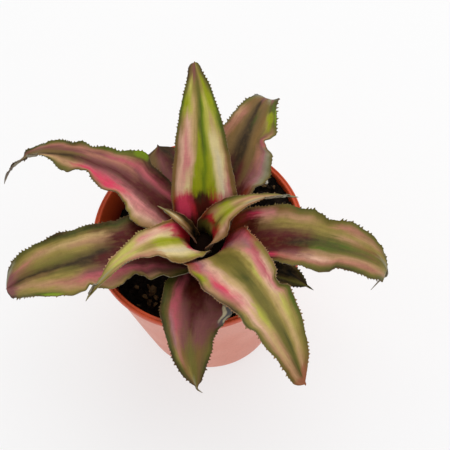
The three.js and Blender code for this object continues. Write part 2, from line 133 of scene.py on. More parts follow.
# What a leaf has where its own entry says nothing else. left and right push a margin's points:
# place along the leaf, how far out, how far up. mud is the strength of the brown blotches, blunt
# is the length of a rounded end, and marks are spots: place along as a share of the length, place
# across, half length, half width, colour and strength.
PLAIN_LEAF = {
    "bend": 0, "hook": 0, "neck": 0.85, "widest": 0.42, "taper": 1.7, "tail": 0, "wrap": 1.2,
    "cup": 0.03, "left": [], "right": [], "blunt": 0, "spine": 1.5, "spine_turn": 0,
    "spine_yaw": 0, "teeth": "edge", "tooth": 1, "mud": 0.26, "marks": [],
}

# Youngest first, each with its solid's shape, apart from small changes at some ends. A zone's
# stripes run from the left margin, at 1, to the right one, at -1, and hold at that share of the
# leaf's length.
LEAVES = [
    {
        "heading": 154, "pitch": [82, 60, 45, 22], "length": 25, "width": 5.2, "cup": 0.3,
        "wrap": 1.6, "wave": 0.1, "wavelength": 12, "slot": "young_leaf", "teeth": "tan",
        "tooth": 0.5,
        "zones": [
            # black low on this leaf: painted shade deep in the cup
            (0.2, "dark 1, black .5, black 0, black -.5, dark -1"),
            (0.45, "edge 1, brown .6, tan .2, edge -.1, dark -.5, dark -1"),
            (0.7, "brown 1, tan .6, sand .3, bone 0, sand -.2, brown -.5, dark -.75, wine -1"),
            (0.92, "moss 1, khaki .5, grey 0, brown -.5, dark -1"),
        ],
    },
    {
        "heading": 14, "bend": -22, "pitch": [86, 62, -8, -14], "length": 49, "width": 16,
        "neck": 0.9, "widest": 0.14, "taper": 0.72, "cup": 0.11, "wrap": 1.7, "wave": 0.3,
        "wavelength": 13, "spine": 2.5, "slot": "young_leaf", "teeth": "tan", "tooth": 0.6,
        "mud": 0.12,
        "left": [(0, 0, 0), (10, 0.5, 0), (17, 1.4, 0), (20, 1.3, 0), (24, 0.7, 0), (30, 0, 0),
            (36, -0.6, 0), (41, 0, 0)],
        "right": [(0, 0, 0), (6, 1, -1), (10, 2.4, -2), (15, 3, -2.5), (17.5, 3.2, -1),
            (20.5, 0.7, 0), (26, 0.1, 0), (33, -0.3, 0), (38, -1, 0), (47, -0.8, 0)],
        "zones": [
            # black at the base: painted shade in the cup
            (0.04, "black 1, black .6, moss .3, dark 0, wine -.3, rust -.6, tan -1"),
            (0.12, "dark 1, moss .7, olive .4, khaki .2, red 0, red -.25, rust -.5, tan -.75, "
             "tan -1"),
            (0.2, "rust 1, wine .88, red .68, red .4, rust .15, olive 0, rust -.2, red -.4, "
             "tan -.65, tan -.85, edge -1"),
            (0.29, "wine 1, edge .88, tan .6, yellow .35, khaki .1, olive -.05, yellow -.3, "
             "sand -.5, blush -.7, tan -.88, edge -1"),
            (0.42, "wine 1, olive .86, lime .72, straw .5, straw .25, lime 0, lime -.12, "
             "straw -.3, sand -.5, tan -.72, edge -.9, edge -1"),
            (0.52, "moss 1, olive .85, khaki .66, sand .45, tan .2, khaki 0, sand -.3, tan -.55, "
             "khaki -.8, edge -1"),
            (0.65, "moss 1, khaki .8, tan .5, clay .25, sand 0, grey -.3, tan -.6, wine -.92, "
             "edge -1"),
            (0.85, "moss 1, olive .7, khaki .3, tan 0, grey -.4, brown -.8, moss -1"),
            (0.97, "olive 1, grey 0, moss -1"),
        ],
    },
    {
        "heading": 206, "bend": 15, "pitch": [79, 38, 6, -42], "length": 65, "width": 21,
        "neck": 0.9, "widest": 0.18, "taper": 0.78, "cup": 0.06, "wrap": 1.6, "wave": 0.6,
        "wavelength": 15, "spine": 2.5, "slot": "young_leaf", "teeth": "sand", "tooth": 0.75,
        "mud": 0.06,
        "left": [(0, 0, 0), (6, 1.8, -1), (12, 3.6, -2), (18, 4.7, -2.3), (27, 5.1, -1),
            (29, 3.1, -0.5), (31.5, 1.2, -0.2), (34, 1, 0), (38, -0.9, 0), (43, -0.9, 0),
            (48, -0.2, 0), (60, 0.5, 0)],
        "right": [(18, 0, 0), (23, 0.6, 0), (36, 0.8, 0), (46, 0, 0), (52, -0.3, 0), (60, -1, 0)],
        "zones": [
            (0.06, "khaki 1, tan .7, hot .4, red .1, wine -.2, red -.5, rust -.8, rust -1"),
            (0.14, "khaki 1, khaki .85, blush .65, pink .45, hot .25, tan .05, olive -.1, "
             "red -.3, red -.55, hot -.75, rust -1"),
            (0.21, "khaki 1, yellow .85, cream .68, bone .45, cream .28, straw .1, lime -.08, "
             "clay -.3, hot -.52, hot -.72, edge -.9, rust -1"),
            (0.28, "edge 1, khaki .88, cream .74, bone .52, cream .32, straw .16, lime 0, "
             "straw -.2, cream -.34, blush -.55, hot -.76, edge -.9, edge -1"),
            (0.38, "edge 1, khaki .88, cream .74, bone .55, cream .38, straw .22, lime .02, "
             "straw -.2, cream -.36, blush -.55, blush -.75, tan -.9, edge -1"),
            (0.49, "brown 1, tan .85, tan .65, sand .45, khaki .25, khaki 0, sand -.22, "
             "blush -.42, pink -.62, sand -.82, olive -1"),
            (0.6, "mauve 1, clay .85, tan .6, sand .35, yellow .05, sand -.2, yellow -.45, "
             "yellow -.75, khaki -.9, olive -1"),
            (0.72, "olive 1, tan .8, khaki .5, yellow .2, yellow -.1, sand -.3, yellow -.55, "
             "khaki -.82, tan -1"),
            (0.85, "moss 1, khaki .7, grey .3, khaki 0, khaki -.4, olive -.8, moss -1"),
            (0.95, "moss 1, khaki .5, grey 0, olive -.6, moss -1"),
        ],
    },
    {
        "heading": 78, "bend": 16, "pitch": [74, 56, 40, 25], "length": 75, "width": 25.5,
        "widest": 0.28, "taper": 1.9, "cup": 0.035, "wave": 0.4, "wavelength": 22, "spine": 0.5,
        "blunt": 1.4, "slot": "mature_leaf", "teeth": "edge", "tooth": 0.75, "mud": 0.06,
        "left": [(0, 0, 0), (12, 1.3, 0), (20, 0.8, 0), (30, 0.3, 0), (38, 0, 0), (47, 0.9, 0),
            (60, 1.1, 0), (70, 1.6, 0), (75, 2.6, 0)],
        "right": [(0, 0, 0), (10, 2.5, 0), (18, 2.8, 0), (26, 1.2, 0), (34, 0.3, 0), (42, -0.4, 0),
            (55, 0, 0), (70, 0.6, 0), (75, 1.6, 0)],
        "zones": [
            (0.06, "dark 1, wine .6, dark 0, wine -.6, dark -1"),
            (0.17, "rust 1, wine .92, hot .74, hot .5, red .34, wine .2, wine 0, wine -.25, "
             "red -.42, hot -.6, pink -.8, rust -1"),
            (0.22, "edge 1, rust .9, hot .72, hot .45, wine .28, dark .1, wine -.15, red -.35, "
             "hot -.5, pink -.65, blush -.8, edge -1"),
            (0.3, "brown 1, edge .9, blush .8, blush .62, cream .48, sand .4, lime .32, lime .1, "
             "deep -.03, lime -.14, lime -.34, cream -.44, bone -.6, pink -.78, edge -.9, "
             "brown -1"),
            (0.45, "brown 1, edge .9, blush .8, pink .68, pink .52, blush .4, sand .32, "
             "lime .24, lime .08, deep -.03, lime -.16, straw -.28, cream -.38, bone -.56, "
             "cream -.72, tan -.82, edge -.9, brown -1"),
            (0.56, "moss 1, brown .92, blush .8, pink .66, blush .5, sand .38, khaki .24, "
             "lime .12, green 0, deep -.1, straw -.24, cream -.38, cream -.56, sand -.7, "
             "olive -.85, moss -1"),
            (0.67, "moss 1, olive .9, tan .76, blush .6, sand .4, khaki .2, green .03, "
             "deep -.08, straw -.22, yellow -.38, sand -.52, straw -.68, green -.86, moss -1"),
            (0.78, "moss 1, green .92, lime .8, lime .66, straw .5, sand .36, khaki .2, "
             "green .02, deep -.08, straw -.22, yellow -.42, lime -.6, lime -.8, green -.92, "
             "moss -1"),
            (0.88, "moss 1, olive .85, yellow .62, khaki .4, olive .1, olive -.1, khaki -.3, "
             "lime -.6, olive -.8, moss -.92, moss -1"),
            (0.96, "dark 1, brown .7, mauve .3, brown 0, khaki -.3, olive -.7, dark -1"),
        ],
    },
    {
        "heading": 296, "bend": -10, "pitch": [70, 36, 0, -35], "length": 96, "width": 27,
        "widest": 0.38, "taper": 2.3, "wrap": 0.93, "wave": 0.5, "wavelength": 20, "spine": 0.6,
        "blunt": 1.6, "slot": "mature_leaf", "teeth": "tan", "mud": 0.14,
        "left": [(0, 0, 0), (8, 2, 0), (12, 4.5, 0), (16, 4, 0), (20, 2.2, 0), (26, 1, 0),
            (36, -0.4, 0), (46, -1.2, 0), (50, -2, 0), (54, -4.2, 0), (57, -3.8, 0),
            (60.5, -0.4, 0), (76, 0, 0), (86, 1, 0), (93, 0, 0)],
        "right": [(0, 0, 0), (8, 3, 0), (13, 4, 0), (20, 2.8, -0.3), (28, 3.9, -0.3), (34, 3.2, 0),
            (43, 4.4, 0), (49, 3.3, 0), (57, 1, 0), (61, 0.2, 0), (67, 1.2, 0), (70, -0.3, 0),
            (76, 0.5, 0), (82, 0.6, 0), (88, 1.8, 0), (92, 2.9, 0), (96, 4, 0)],
        "zones": [
            (0.04, "rust 1, red .8, hot .62, hot .45, rose .25, brown 0, rose -.3, rust -.7, "
             "rust -1"),
            (0.13, "rust 1, rose .88, rose .7, lilac .5, edge .34, khaki .15, olive -.1, "
             "khaki -.3, tan -.5, lilac -.68, rust -.85, rust -1"),
            (0.25, "rust 1, rose .88, lilac .7, tan .52, khaki .35, olive .1, olive -.15, "
             "khaki -.35, blush -.52, lilac -.68, rose -.82, edge -1"),
            (0.35, "edge 1, khaki .88, rose .74, pink .58, sand .42, khaki .28, olive .08, "
             "olive -.12, khaki -.3, blush -.48, pink -.66, tan -.8, lime -.9, dark -1"),
            (0.47, "brown 1, khaki .9, blush .76, rose .66, pink .52, yellow .36, khaki .22, "
             "olive .05, moss -.08, olive -.2, sand -.38, blush -.52, hot -.66, rose -.78, "
             "tan -.9, dark -1"),
            (0.58, "moss 1, olive .88, pink .72, blush .58, sand .42, khaki .22, olive .02, "
             "olive -.18, khaki -.3, blush -.48, pink -.66, clay -.78, brown -.9, dark -1"),
            (0.68, "moss 1, green .9, khaki .78, yellow .58, sand .4, khaki .2, olive 0, "
             "olive -.15, straw -.35, sand -.52, blush -.68, khaki -.84, moss -1"),
            (0.82, "moss 1, olive .88, khaki .65, sand .45, khaki .25, moss .05, olive -.12, "
             "tan -.32, sand -.55, tan -.75, olive -.9, moss -1"),
            (0.95, "brown 1, edge .7, tan .45, olive .1, moss -.1, brown -.3, tan -.6, "
             "edge -.85, moss -1"),
        ],
        "marks": [(0.97, 0.6, 0.05, 0.6, "dried", 0.9), (0.99, 0, 0.025, 1.2, "dried", 0.9)],
    },
    {
        "heading": 139.5, "bend": 42, "pitch": [56, 9, 6, -102], "hook": -26, "length": 112,
        "width": 22, "widest": 0.34, "taper": 1.1, "tail": 0.8, "wrap": 1, "wave": 1.1,
        "wavelength": 12, "spine": 3, "slot": "mature_leaf", "teeth": "brown", "tooth": 0.8,
        "left": [(0, 0, 0), (10, 1.5, 0.6), (17, 3.4, 1), (22, 4.6, 0.6), (25, 4.4, 0),
            (28, 1.6, 0), (31, -1.3, 0), (36, -2.5, 0), (43, -1.1, 0), (47, -1.2, 0), (53, -4, 0),
            (55.5, -3, 0), (60, 1.5, 0), (63, 1.1, 0), (70, -1.3, 0), (74, -1.4, 0), (78, -2.5, 0),
            (84, -1.2, 0), (92, -0.5, 0), (98, 0, 0)],
        "right": [(0, 0, 0), (22, 0.9, 0), (27, 0.2, 0), (30, 1.1, 0), (35, 3.4, 0), (41, 1.3, 0),
            (48, -1.4, 0), (54, -2.2, 0), (60, -1.5, 0), (63, -2.5, 0), (69, 0.4, 0), (75, 0.1, 0),
            (80.5, 2.6, 0), (86, 1, 0), (92, 0.6, 0), (98, 0, 0)],
        "zones": [
            (0.14, "edge 1, tan .85, blush .65, pink .45, mauve .25, wine .08, plum -.15, "
             "plum -.4, rose -.6, plum -.8, dark -1"),
            (0.26, "olive 1, khaki .9, blush .72, pink .55, pink .36, mauve .2, plum .02, "
             "plum -.25, mauve -.45, rose -.65, plum -.85, dark -1"),
            (0.37, "brown 1, clay .9, hot .78, hot .42, rose .26, mauve .12, plum -.02, "
             "mauve -.15, clay -.35, rose -.55, clay -.7, olive -.86, green -1"),
            (0.47, "moss 1, brown .88, clay .74, hot .6, rose .42, mauve .25, plum .08, "
             "mauve -.12, clay -.32, mauve -.5, clay -.72, olive -.88, moss -1"),
            (0.56, "moss 1, olive .85, tan .66, tan .42, brown .24, dark .08, brown -.1, "
             "mauve -.3, clay -.55, brown -.78, moss -.92, moss -1"),
            (0.66, "moss 1, moss .85, sand .6, tan .4, dark .15, brown 0, brown -.2, mauve -.5, "
             "clay -.7, olive -.86, moss -1"),
            (0.78, "dark 1, brown .5, grey .2, brown -.1, brown -.45, mauve -.7, moss -.9, "
             "dark -1"),
            # steel on the tail: painted grey-blue sheen over its dark grey-brown
            (0.9, "steel 1, brown .4, edge 0, dark -.5, dark -1"),
            (1, "steel 1, dark .3, steel 0, dark -.5, dark -1"),
        ],
        "marks": [(0.33, -0.95, 0.03, 0.14, "bright", 0.8),
            (0.45, -0.95, 0.03, 0.12, "green", 0.7)],
    },
    {
        "heading": 338.5, "bend": -5, "pitch": [60, 24, 0, -35], "hook": 70, "length": 90,
        "width": 27, "taper": 1.9, "wrap": 0.9, "wave": 0.9, "wavelength": 18, "spine": 8,
        "spine_turn": 60, "spine_yaw": 64, "slot": "mature_leaf", "teeth": "brown",
        "left": [(0, 0, 0), (12, 1.9, 0), (26, 2, 0), (33, 0.8, 0), (40, 0.1, 0), (45, 0.4, 0),
            (48, -1.5, 0), (52.5, -3, 0), (56, -1.6, 0), (58, 0, 0), (61.5, 1.3, 0), (67, 0, 0),
            (74, -0.3, 0), (79, -0.2, 0), (84, -1.5, 0)],
        "right": [(0, 0, 0), (30, -1, 0), (36, -1.2, 0), (40, 0.4, 0), (43, 1.1, 0), (47, 0.3, 0),
            (50, 1.1, 0), (55, 2.7, 0), (58, 2.6, 0), (60.5, 0.5, 0), (67, 0.4, 0), (70, 1, 0),
            (75, 2.8, 0), (80, 2.1, 0), (86, 1.5, 0)],
        "zones": [
            (0.1, "rust 1, rust .6, wine .3, wine 0, wine -1"),
            (0.2, "edge 1, plum .92, hot .8, wine .62, wine .4, plum 0, wine -.5, plum -1"),
            (0.28, "olive 1, clay .92, pink .78, tan .6, brown .42, plum .2, wine 0, wine -.3, "
             "plum -.6, mauve -.8, edge -1"),
            (0.36, "olive 1, edge .9, tan .72, khaki .55, brown .35, plum .15, wine -.05, "
             "wine -.3, plum -.55, hot -.72, plum -.85, olive -1"),
            (0.46, "moss 1, olive .88, tan .7, khaki .5, brown .3, plum .12, dark -.1, wine -.3, "
             "mauve -.5, clay -.7, edge -.85, olive -1"),
            (0.58, "moss 1, olive .9, khaki .7, khaki .45, olive .22, moss .02, moss -.15, "
             "green -.28, tan -.42, blush -.6, clay -.75, olive -.88, moss -1"),
            (0.68, "moss 1, olive .92, clay .78, khaki .55, tan .35, olive .15, green -.05, "
             "moss -.2, olive -.32, tan -.48, clay -.65, brown -.8, moss -.92, dark -1"),
            (0.8, "moss 1, olive .88, tan .65, khaki .45, edge .25, olive .05, brown -.12, "
             "olive -.3, tan -.48, clay -.64, olive -.85, moss -1"),
            (0.9, "olive 1, moss .8, khaki .5, grey .25, olive 0, khaki -.3, tan -.6, "
             "olive -.85, moss -1"),
            (0.97, "moss 1, grey .6, khaki .2, moss -.1, grey -.4, olive -.8, moss -1"),
        ],
    },
    {
        "heading": 193.3, "bend": -9, "pitch": [52, 17, -1, -18], "hook": 28, "length": 82,
        "width": 31, "neck": 0.95, "widest": 0.48, "taper": 5, "wrap": 1, "wave": 0.9,
        "wavelength": 17, "spine": 0.5, "blunt": 3, "slot": "mature_leaf", "teeth": "brown",
        "left": [(0, 0, 0), (5, 1.4, 0), (10, 2.5, 0), (15, 3.1, 0), (18, 1.3, 0), (22.5, 1.9, 0),
            (25, -1.2, 0), (28, -2.6, 0), (32, -0.2, 0), (35, 2, 0), (38, 2.6, 0), (43, 0.6, 0),
            (46, -1.7, 0), (49, 1.2, 0), (53, 1.9, 0), (58, -0.2, 0), (62, -1, 0), (67, -1.5, 0),
            (72, -1.6, 0), (76, -0.7, 0), (80, 1.7, 0), (82, 3.7, 0)],
        "right": [(0, 0, 0), (12, 0.3, -0.8), (24, 0.7, 0), (30, -0.6, 0), (36, -2.3, 0),
            (42, -1, 0), (50, -2, 0), (56, -2.8, 0), (62, -2.6, 0), (67, -3.2, 0), (72, -2.4, 0),
            (76, 0.5, 0), (80, 3.2, 0), (82, 4.5, 0)],
        "zones": [
            (0.1, "moss 1, olive .85, mauve .66, plum .5, wine .2, wine -.3, plum -.6, dark -1"),
            (0.25, "olive 1, tan .9, mauve .75, rose .6, plum .42, wine .2, wine -.2, wine -.5, "
             "plum -.75, moss -.9, dark -1"),
            (0.36, "olive 1, khaki .88, clay .76, rose .6, plum .42, wine .15, wine -.2, "
             "wine -.4, plum -.58, brown -.72, moss -.85, dark -1"),
            (0.46, "khaki 1, tan .9, clay .75, rose .6, mauve .42, plum .2, wine 0, dark -.15, "
             "brown -.3, tan -.5, sand -.66, brown -.78, moss -.88, dark -1"),
            (0.54, "olive 1, tan .88, clay .74, rose .62, mauve .46, brown .26, dark .05, "
             "dark -.1, khaki -.28, tan -.48, sand -.62, khaki -.75, moss -.88, moss -1"),
            (0.66, "olive 1, khaki .88, tan .7, clay .5, khaki .32, olive .14, dark 0, "
             "olive -.15, khaki -.35, sand -.55, khaki -.72, moss -.87, dark -1"),
            (0.78, "moss 1, green .92, khaki .72, tan .5, khaki .3, brown .12, dark 0, "
             "olive -.14, khaki -.35, tan -.55, khaki -.74, olive -.86, moss -1"),
            (0.88, "moss 1, olive .88, khaki .62, tan .35, brown .14, dark .02, brown -.15, "
             "clay -.4, khaki -.65, olive -.82, moss -1"),
            (0.96, "dark 1, mauve .7, mauve .3, plum .05, mauve -.2, mauve -.6, grey -.85, "
             "dark -1"),
        ],
        "marks": [(0.74, 0.97, 0.05, 0.1, "bright", 0.7)],
    },
    {
        "heading": 58, "bend": 3, "pitch": [52, 28, 6, -20], "hook": 60, "length": 72, "width": 25,
        "neck": 0.93, "taper": 2.2, "wave": 0.8, "wavelength": 16, "slot": "old_leaf",
        "teeth": "brown",
        "left": [(38, 0, 0), (45, -1.6, 0), (50, -0.5, 0), (55, 0.3, 0), (62, -0.6, 0),
            (68, -0.5, 0)],
        "right": [(17, 0, 0), (22, 0.6, 0), (25, 3.2, 0), (28, 4.1, 0), (33, 2.8, 0),
            (36.5, 2.2, 0), (39, -1.5, 0), (41.5, -3.4, 0), (44, -1, 0), (46, 0.5, 0),
            (50, -0.3, 0), (60, -1, 0), (65, -0.2, 0.6), (69, 1.2, 1.8)],
        "zones": [
            (0.25, "plum 1, dark .6, plum .2, wine -.1, plum -.4, wine -.6, rust -.8, brown -1"),
            (0.36, "dark 1, brown .6, plum .2, dark 0, plum -.2, brown -.42, mauve -.58, "
             "lilac -.74, grey -.9, olive -1"),
            (0.48, "edge 1, brown .7, brown .35, dark .1, dark -.05, brown -.25, brown -.45, "
             "clay -.62, lilac -.76, grey -.9, olive -1"),
            (0.58, "olive 1, clay .84, edge .6, brown .35, dark .1, dark -.05, brown -.22, "
             "edge -.4, brown -.6, mauve -.75, tan -.88, olive -1"),
            (0.7, "moss 1, tan .86, clay .7, brown .42, dark .15, moss 0, brown -.2, edge -.38, "
             "khaki -.55, lime -.7, olive -.84, green -1"),
            (0.8, "moss 1, olive .9, edge .7, brown .45, dark .15, brown 0, brown -.2, "
             "olive -.4, moss -.6, green -.8, moss -1"),
            (0.9, "steel 1, grey .8, brown .5, mauve .2, brown 0, grey -.3, mauve -.5, moss -.8, "
             "dark -1"),
        ],
        "marks": [(0.73, -0.68, 0.05, 0.22, "lime", 0.7), (0.56, -0.84, 0.03, 0.2, "rose", 0.6),
            (0.75, -0.97, 0.06, 0.1, "bright", 0.6)],
    },
    {
        "heading": 256, "bend": 24, "pitch": [43, 18, -6, -30], "hook": 20, "length": 60,
        "width": 25, "taper": 1.5, "wave": 0.7, "wavelength": 14, "spine": 3.5, "spine_yaw": 60,
        "slot": "old_leaf", "teeth": "brown",
        "left": [(20, 0, 0), (25, 4, 0), (29, 5.5, 0), (32.5, 3.3, 0), (37, 1.1, 0), (41, 0.8, 0),
            (45, 1.9, 0), (50, 1.3, 0), (57, 1.1, 0)],
        "right": [(36, 0, 0), (40, -0.3, 0), (43, 0, 0), (48, 1.2, 0), (51, 1.3, 0), (57, 0.3, 0)],
        "zones": [
            (0.12, "moss 1, plum .6, wine .1, wine -.2, rose -.45, plum -.65, moss -.85, moss -1"),
            (0.25, "dark 1, plum .7, plum .45, wine .15, wine -.12, plum -.28, rose -.48, "
             "rose -.64, brown -.78, moss -.88, moss -1"),
            (0.4, "moss 1, plum .85, mauve .6, plum .35, plum 0, mauve -.25, rose -.5, "
             "rose -.68, brown -.78, moss -.88, dark -1"),
            (0.55, "moss 1, mauve .86, mauve .6, mauve .3, plum .05, mauve -.2, rose -.48, "
             "lilac -.66, brown -.78, moss -.88, dark -1"),
            (0.66, "moss 1, brown .86, mauve .6, mauve .35, brown 0, mauve -.25, clay -.5, "
             "lilac -.64, brown -.78, moss -.88, moss -1"),
            (0.76, "moss 1, olive .88, brown .7, edge .45, olive .15, olive -.08, edge -.3, "
             "clay -.55, khaki -.7, moss -.87, dark -1"),
            (0.88, "dark 1, moss .85, brown .6, olive .3, olive 0, khaki -.25, edge -.55, "
             "moss -.82, dark -1"),
            (0.97, "dark 1, brown .6, olive .2, grey -.2, brown -.5, dark -1"),
        ],
        # marks on the folded margin: steel for the turned-up underside with painted sheen, bone for
        # painted highlights
        "marks": [(0.48, 1, 0.09, 0.2, "steel", 0.85), (0.47, 0.86, 0.07, 0.05, "bone", 0.95),
            (0.52, 0.98, 0.03, 0.04, "bone", 0.8)],
    },
    {
        "heading": 109, "bend": -6, "pitch": [38, 24, 9, 6], "length": 38, "width": 19, "taper": 8,
        "wave": 0.6, "wavelength": 12, "spine": 0.5, "blunt": 7, "slot": "old_leaf",
        "teeth": "dark",
        "zones": [
            (0.5, "dark 1, plum .5, mauve 0, plum -.5, dark -1"),
            (0.8, "edge 1, brown .75, brown .45, mauve .15, plum -.1, dark -.35, plum -.6, "
             "brown -.85, dark -1"),
            (0.95, "dark 1, brown .6, plum .2, dark -.2, dark -.6, dark -1"),
        ],
    },
    {
        "heading": 325, "pitch": [40, 32, 12, -25], "length": 40, "width": 16, "wave": 0.6,
        "wavelength": 12, "spine": 2, "slot": "old_leaf", "teeth": "dark",
        "zones": [
            # black towards the base: painted shade under the leaves above
            (0.5, "edge 1, dark .7, black .2, black -.2, dark -1"),
            (0.72, "edge 1, dark .75, black .4, black .1, dark -.15, olive -.35, dark -.6, "
             "brown -1"),
            (0.88, "moss 1, dark .6, dark .2, olive -.1, olive -.35, moss -.6, dark -1"),
        ],
    },
]
LEAVES = [{**PLAIN_LEAF, **entry} for entry in LEAVES]


def smooth(value, low, high):
    """0 below low, 1 above high, and an even S between them."""
    t = min(max((value - low) / (high - low), 0), 1)
    return t * t * (3 - 2 * t)


def mix(a, b, t):
    return a + (b - a) * t


def seat(index):
    """Radius and height on the crown where the base of a leaf stands."""
    return CROWN_TIP_RADIUS + CROWN_SPREAD * index**CROWN_EASE, CROWN_TOP - LEAF_STEP_DOWN * index


def half_width(leaf, q):
    """Half width of a blade: a sheath, a swell, and a taper to the tip."""
    if q < leaf["widest"]:
        return 0.5 * leaf["width"] * mix(leaf["neck"], 1, smooth(q, 0, leaf["widest"]))
    t = (q - leaf["widest"]) / (1 - leaf["widest"])
    tail = 1 - leaf["tail"] * smooth(q, 0.55, 0.85)
    return 0.5 * leaf["width"] * max((1 - t ** leaf["taper"]) * tail, TIP_SHARE)


def centre_line(leaf, index):
    """Place and directions of the leaf's centre line, stepped from its base to its spine."""
    heading = math.radians(leaf["heading"])
    radius, height = seat(index)
    x, y = radius * math.cos(heading), radius * math.sin(heading)
    place = Vector((CROWN_X + x, CROWN_Y + y, height))
    a, b, c, d = leaf["pitch"]
    steps = []
    for i in range(int((leaf["length"] + leaf["spine"]) / SPINE_STEP) + 3):
        s = i * SPINE_STEP
        q = min(s / leaf["length"], 1)
        p = 1 - q
        beyond = smooth(s, leaf["length"] - 1, leaf["length"] + 0.35 * leaf["spine"])
        yaw = heading + math.radians(leaf["bend"] * q * q + leaf["spine_yaw"] * beyond)
        rise = p**3 * a + 3 * p * p * q * b + 3 * p * q * q * c + q**3 * d
        rise -= leaf["hook"] * smooth(q, 0.75, 1)
        rise -= leaf["spine_turn"] * beyond
        rise = math.radians(rise)
        flat = math.cos(rise)
        along = Vector((math.cos(yaw) * flat, math.sin(yaw) * flat, math.sin(rise)))
        side = Vector((-math.sin(yaw), math.cos(yaw), 0))
        steps.append((place.copy(), along, side, along.cross(side)))
        place = place + along * SPINE_STEP
    return steps


def on_line(steps, s):
    """The centre line's place and directions at a distance, between its two nearest steps."""
    i = min(int(s / SPINE_STEP), len(steps) - 2)
    t = s / SPINE_STEP - i
    return [near.lerp(far, t) for near, far in zip(steps[i], steps[i + 1])]


def row_places(leaf, settings):
    """Distances along a leaf for its rows of points, and whether a row carries the teeth."""
    rows = [(SHEATH_LENGTH * i / SHEATH_ROWS, False) for i in range(SHEATH_ROWS)]
    closing = closing_length(leaf)
    toothed = leaf["length"] - closing - SHEATH_LENGTH
    count = round(toothed / settings.tooth_spacing)
    for i in range(count):
        start = SHEATH_LENGTH + i * toothed / count
        step = toothed / count / 3
        rows += [(start, False), (start + step, True), (start + 2 * step, False)]
    for i in range(TIP_ROWS):
        left_over = closing * (1 - math.sin(0.5 * math.pi * i / TIP_ROWS))
        rows.append((leaf["length"] - left_over, False))
    for i in range(SPINE_ROWS + 1):
        rows.append((leaf["length"] + leaf["spine"] * i / SPINE_ROWS, False))
    return rows


def closing_length(leaf):
    return max(leaf["blunt"], TIP_POINT)


def closing_share(leaf, s):
    """How much of the width is left in the closing end: a point, or a half round."""
    t = min(max(1 - (leaf["length"] - s) / closing_length(leaf), 0), 1)
    return math.sqrt(1 - t * t) if leaf["blunt"] else 1 - t


def width_at(leaf, s):
    """Half width at a distance, down to the thin spine beyond the blade."""
    length = leaf["length"]
    if s > length:
        return mix(SPINE_RADIUS, SPINE_TIP_RADIUS, (s - length) / leaf["spine"])
    return max(half_width(leaf, s / length) * closing_share(leaf, s), SPINE_RADIUS)


def margin_shape(leaf, s, side):
    """How far out and up the lobes and notches push one margin."""
    points = leaf["left"] if side > 0 else leaf["right"]
    for (near, out, up), (far, next_out, next_up) in zip(points, points[1:]):
        if near <= s <= far:
            t = smooth(s, near, far)
            return mix(out, next_out, t), mix(up, next_up, t)
    return points[-1][1:] if points and s > points[-1][0] else (0, 0)


def blade_point(leaf, index, steps, share, s, tooth):
    """A point of the upper face: share is its place across, from -1 to 1."""
    place, along, side, up = on_line(steps, s)
    q = min(s / leaf["length"], 1)
    half = width_at(leaf, s)
    wrapped = min(1 / seat(index)[0], leaf["wrap"] / half)
    curl = mix(wrapped, leaf["cup"], smooth(q, 0, 0.4))
    swing = leaf["wave"] * smooth(q, 0.1, 0.3) * (1 - smooth(q, 0.8, 1))
    sign = 1 if share > 0 else -1
    phase = 2 * math.pi * s / leaf["wavelength"] + (SIDE_SHIFT if share > 0 else 0)
    edge = abs(share) ** 3
    closing = closing_share(leaf, s) * share * share
    out, lift = (closing * push for push in margin_shape(leaf, s, sign))
    ripple = 0.35 * noise.noise(Vector((s / 2.6, sign * 7.3, index * 3.1)))
    ripple *= smooth(q, 0.1, 0.25) * (1 - smooth(q, 0.92, 1))
    reach = half * abs(share) + edge * (SCALLOP * swing * math.cos(phase) + 0.6 * ripple) + tooth
    turn = curl * reach * sign
    channel = 0.2 * math.exp(-((share * half / 1.1) ** 2)) * smooth(q, 0.05, 0.2) * (1 - q)
    ridges = 0.1 * math.cos(share * half * 1.7) * (1 - edge)
    ridges *= smooth(q, 0.1, 0.3) * (1 - smooth(q, 0.85, 1))
    height = swing * edge * math.sin(phase) + lift + ripple * edge - channel + ridges
    point = place + side * (math.sin(turn) / curl + sign * out)
    point += up * ((1 - math.cos(turn)) / curl + height)
    return point + along * (0.5 * tooth)


# ---- mesh helpers -------------------------------------------------------------------------


def start_fresh():
    """Nothing selected and in object mode, so that an operator acts only on what it makes."""
    if bpy.context.object and bpy.context.object.mode != "OBJECT":
        bpy.ops.object.mode_set(mode="OBJECT")
    bpy.ops.object.select_all(action="DESELECT")


def only(thing):
    """Selects one object alone and makes it the active one."""
    start_fresh()
    thing.select_set(True)
    bpy.context.view_layer.objects.active = thing


def apply_modifier(thing, kind, **values):
    """Adds a modifier with these values and applies it."""
    only(thing)
    modifier = thing.modifiers.new(kind.title(), kind)
    for key, value in values.items():
        setattr(modifier, key, value)
    bpy.ops.object.modifier_apply(modifier=modifier.name)


def settle(thing, degrees=40):
    """Outward faces and smooth shading up to an angle."""
    only(thing)
    bpy.ops.object.mode_set(mode="EDIT")
    bpy.ops.mesh.select_all(action="SELECT")
    bpy.ops.mesh.remove_doubles(threshold=1e-6)
    bpy.ops.mesh.normals_make_consistent(inside=False)
    bpy.ops.object.mode_set(mode="OBJECT")
    bpy.ops.object.shade_smooth_by_angle(angle=math.radians(degrees))


def coat(thing, *materials):
    """These materials alone on the object."""
    thing.data.materials.clear()
    for material in materials:
        thing.data.materials.append(material)


def finish_piece(thing, slot, *nodes):
    """The piece rides with the pot and stands for its solids; its slot is not used."""
    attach(thing, "root")
    if nodes:
        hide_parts(*nodes)


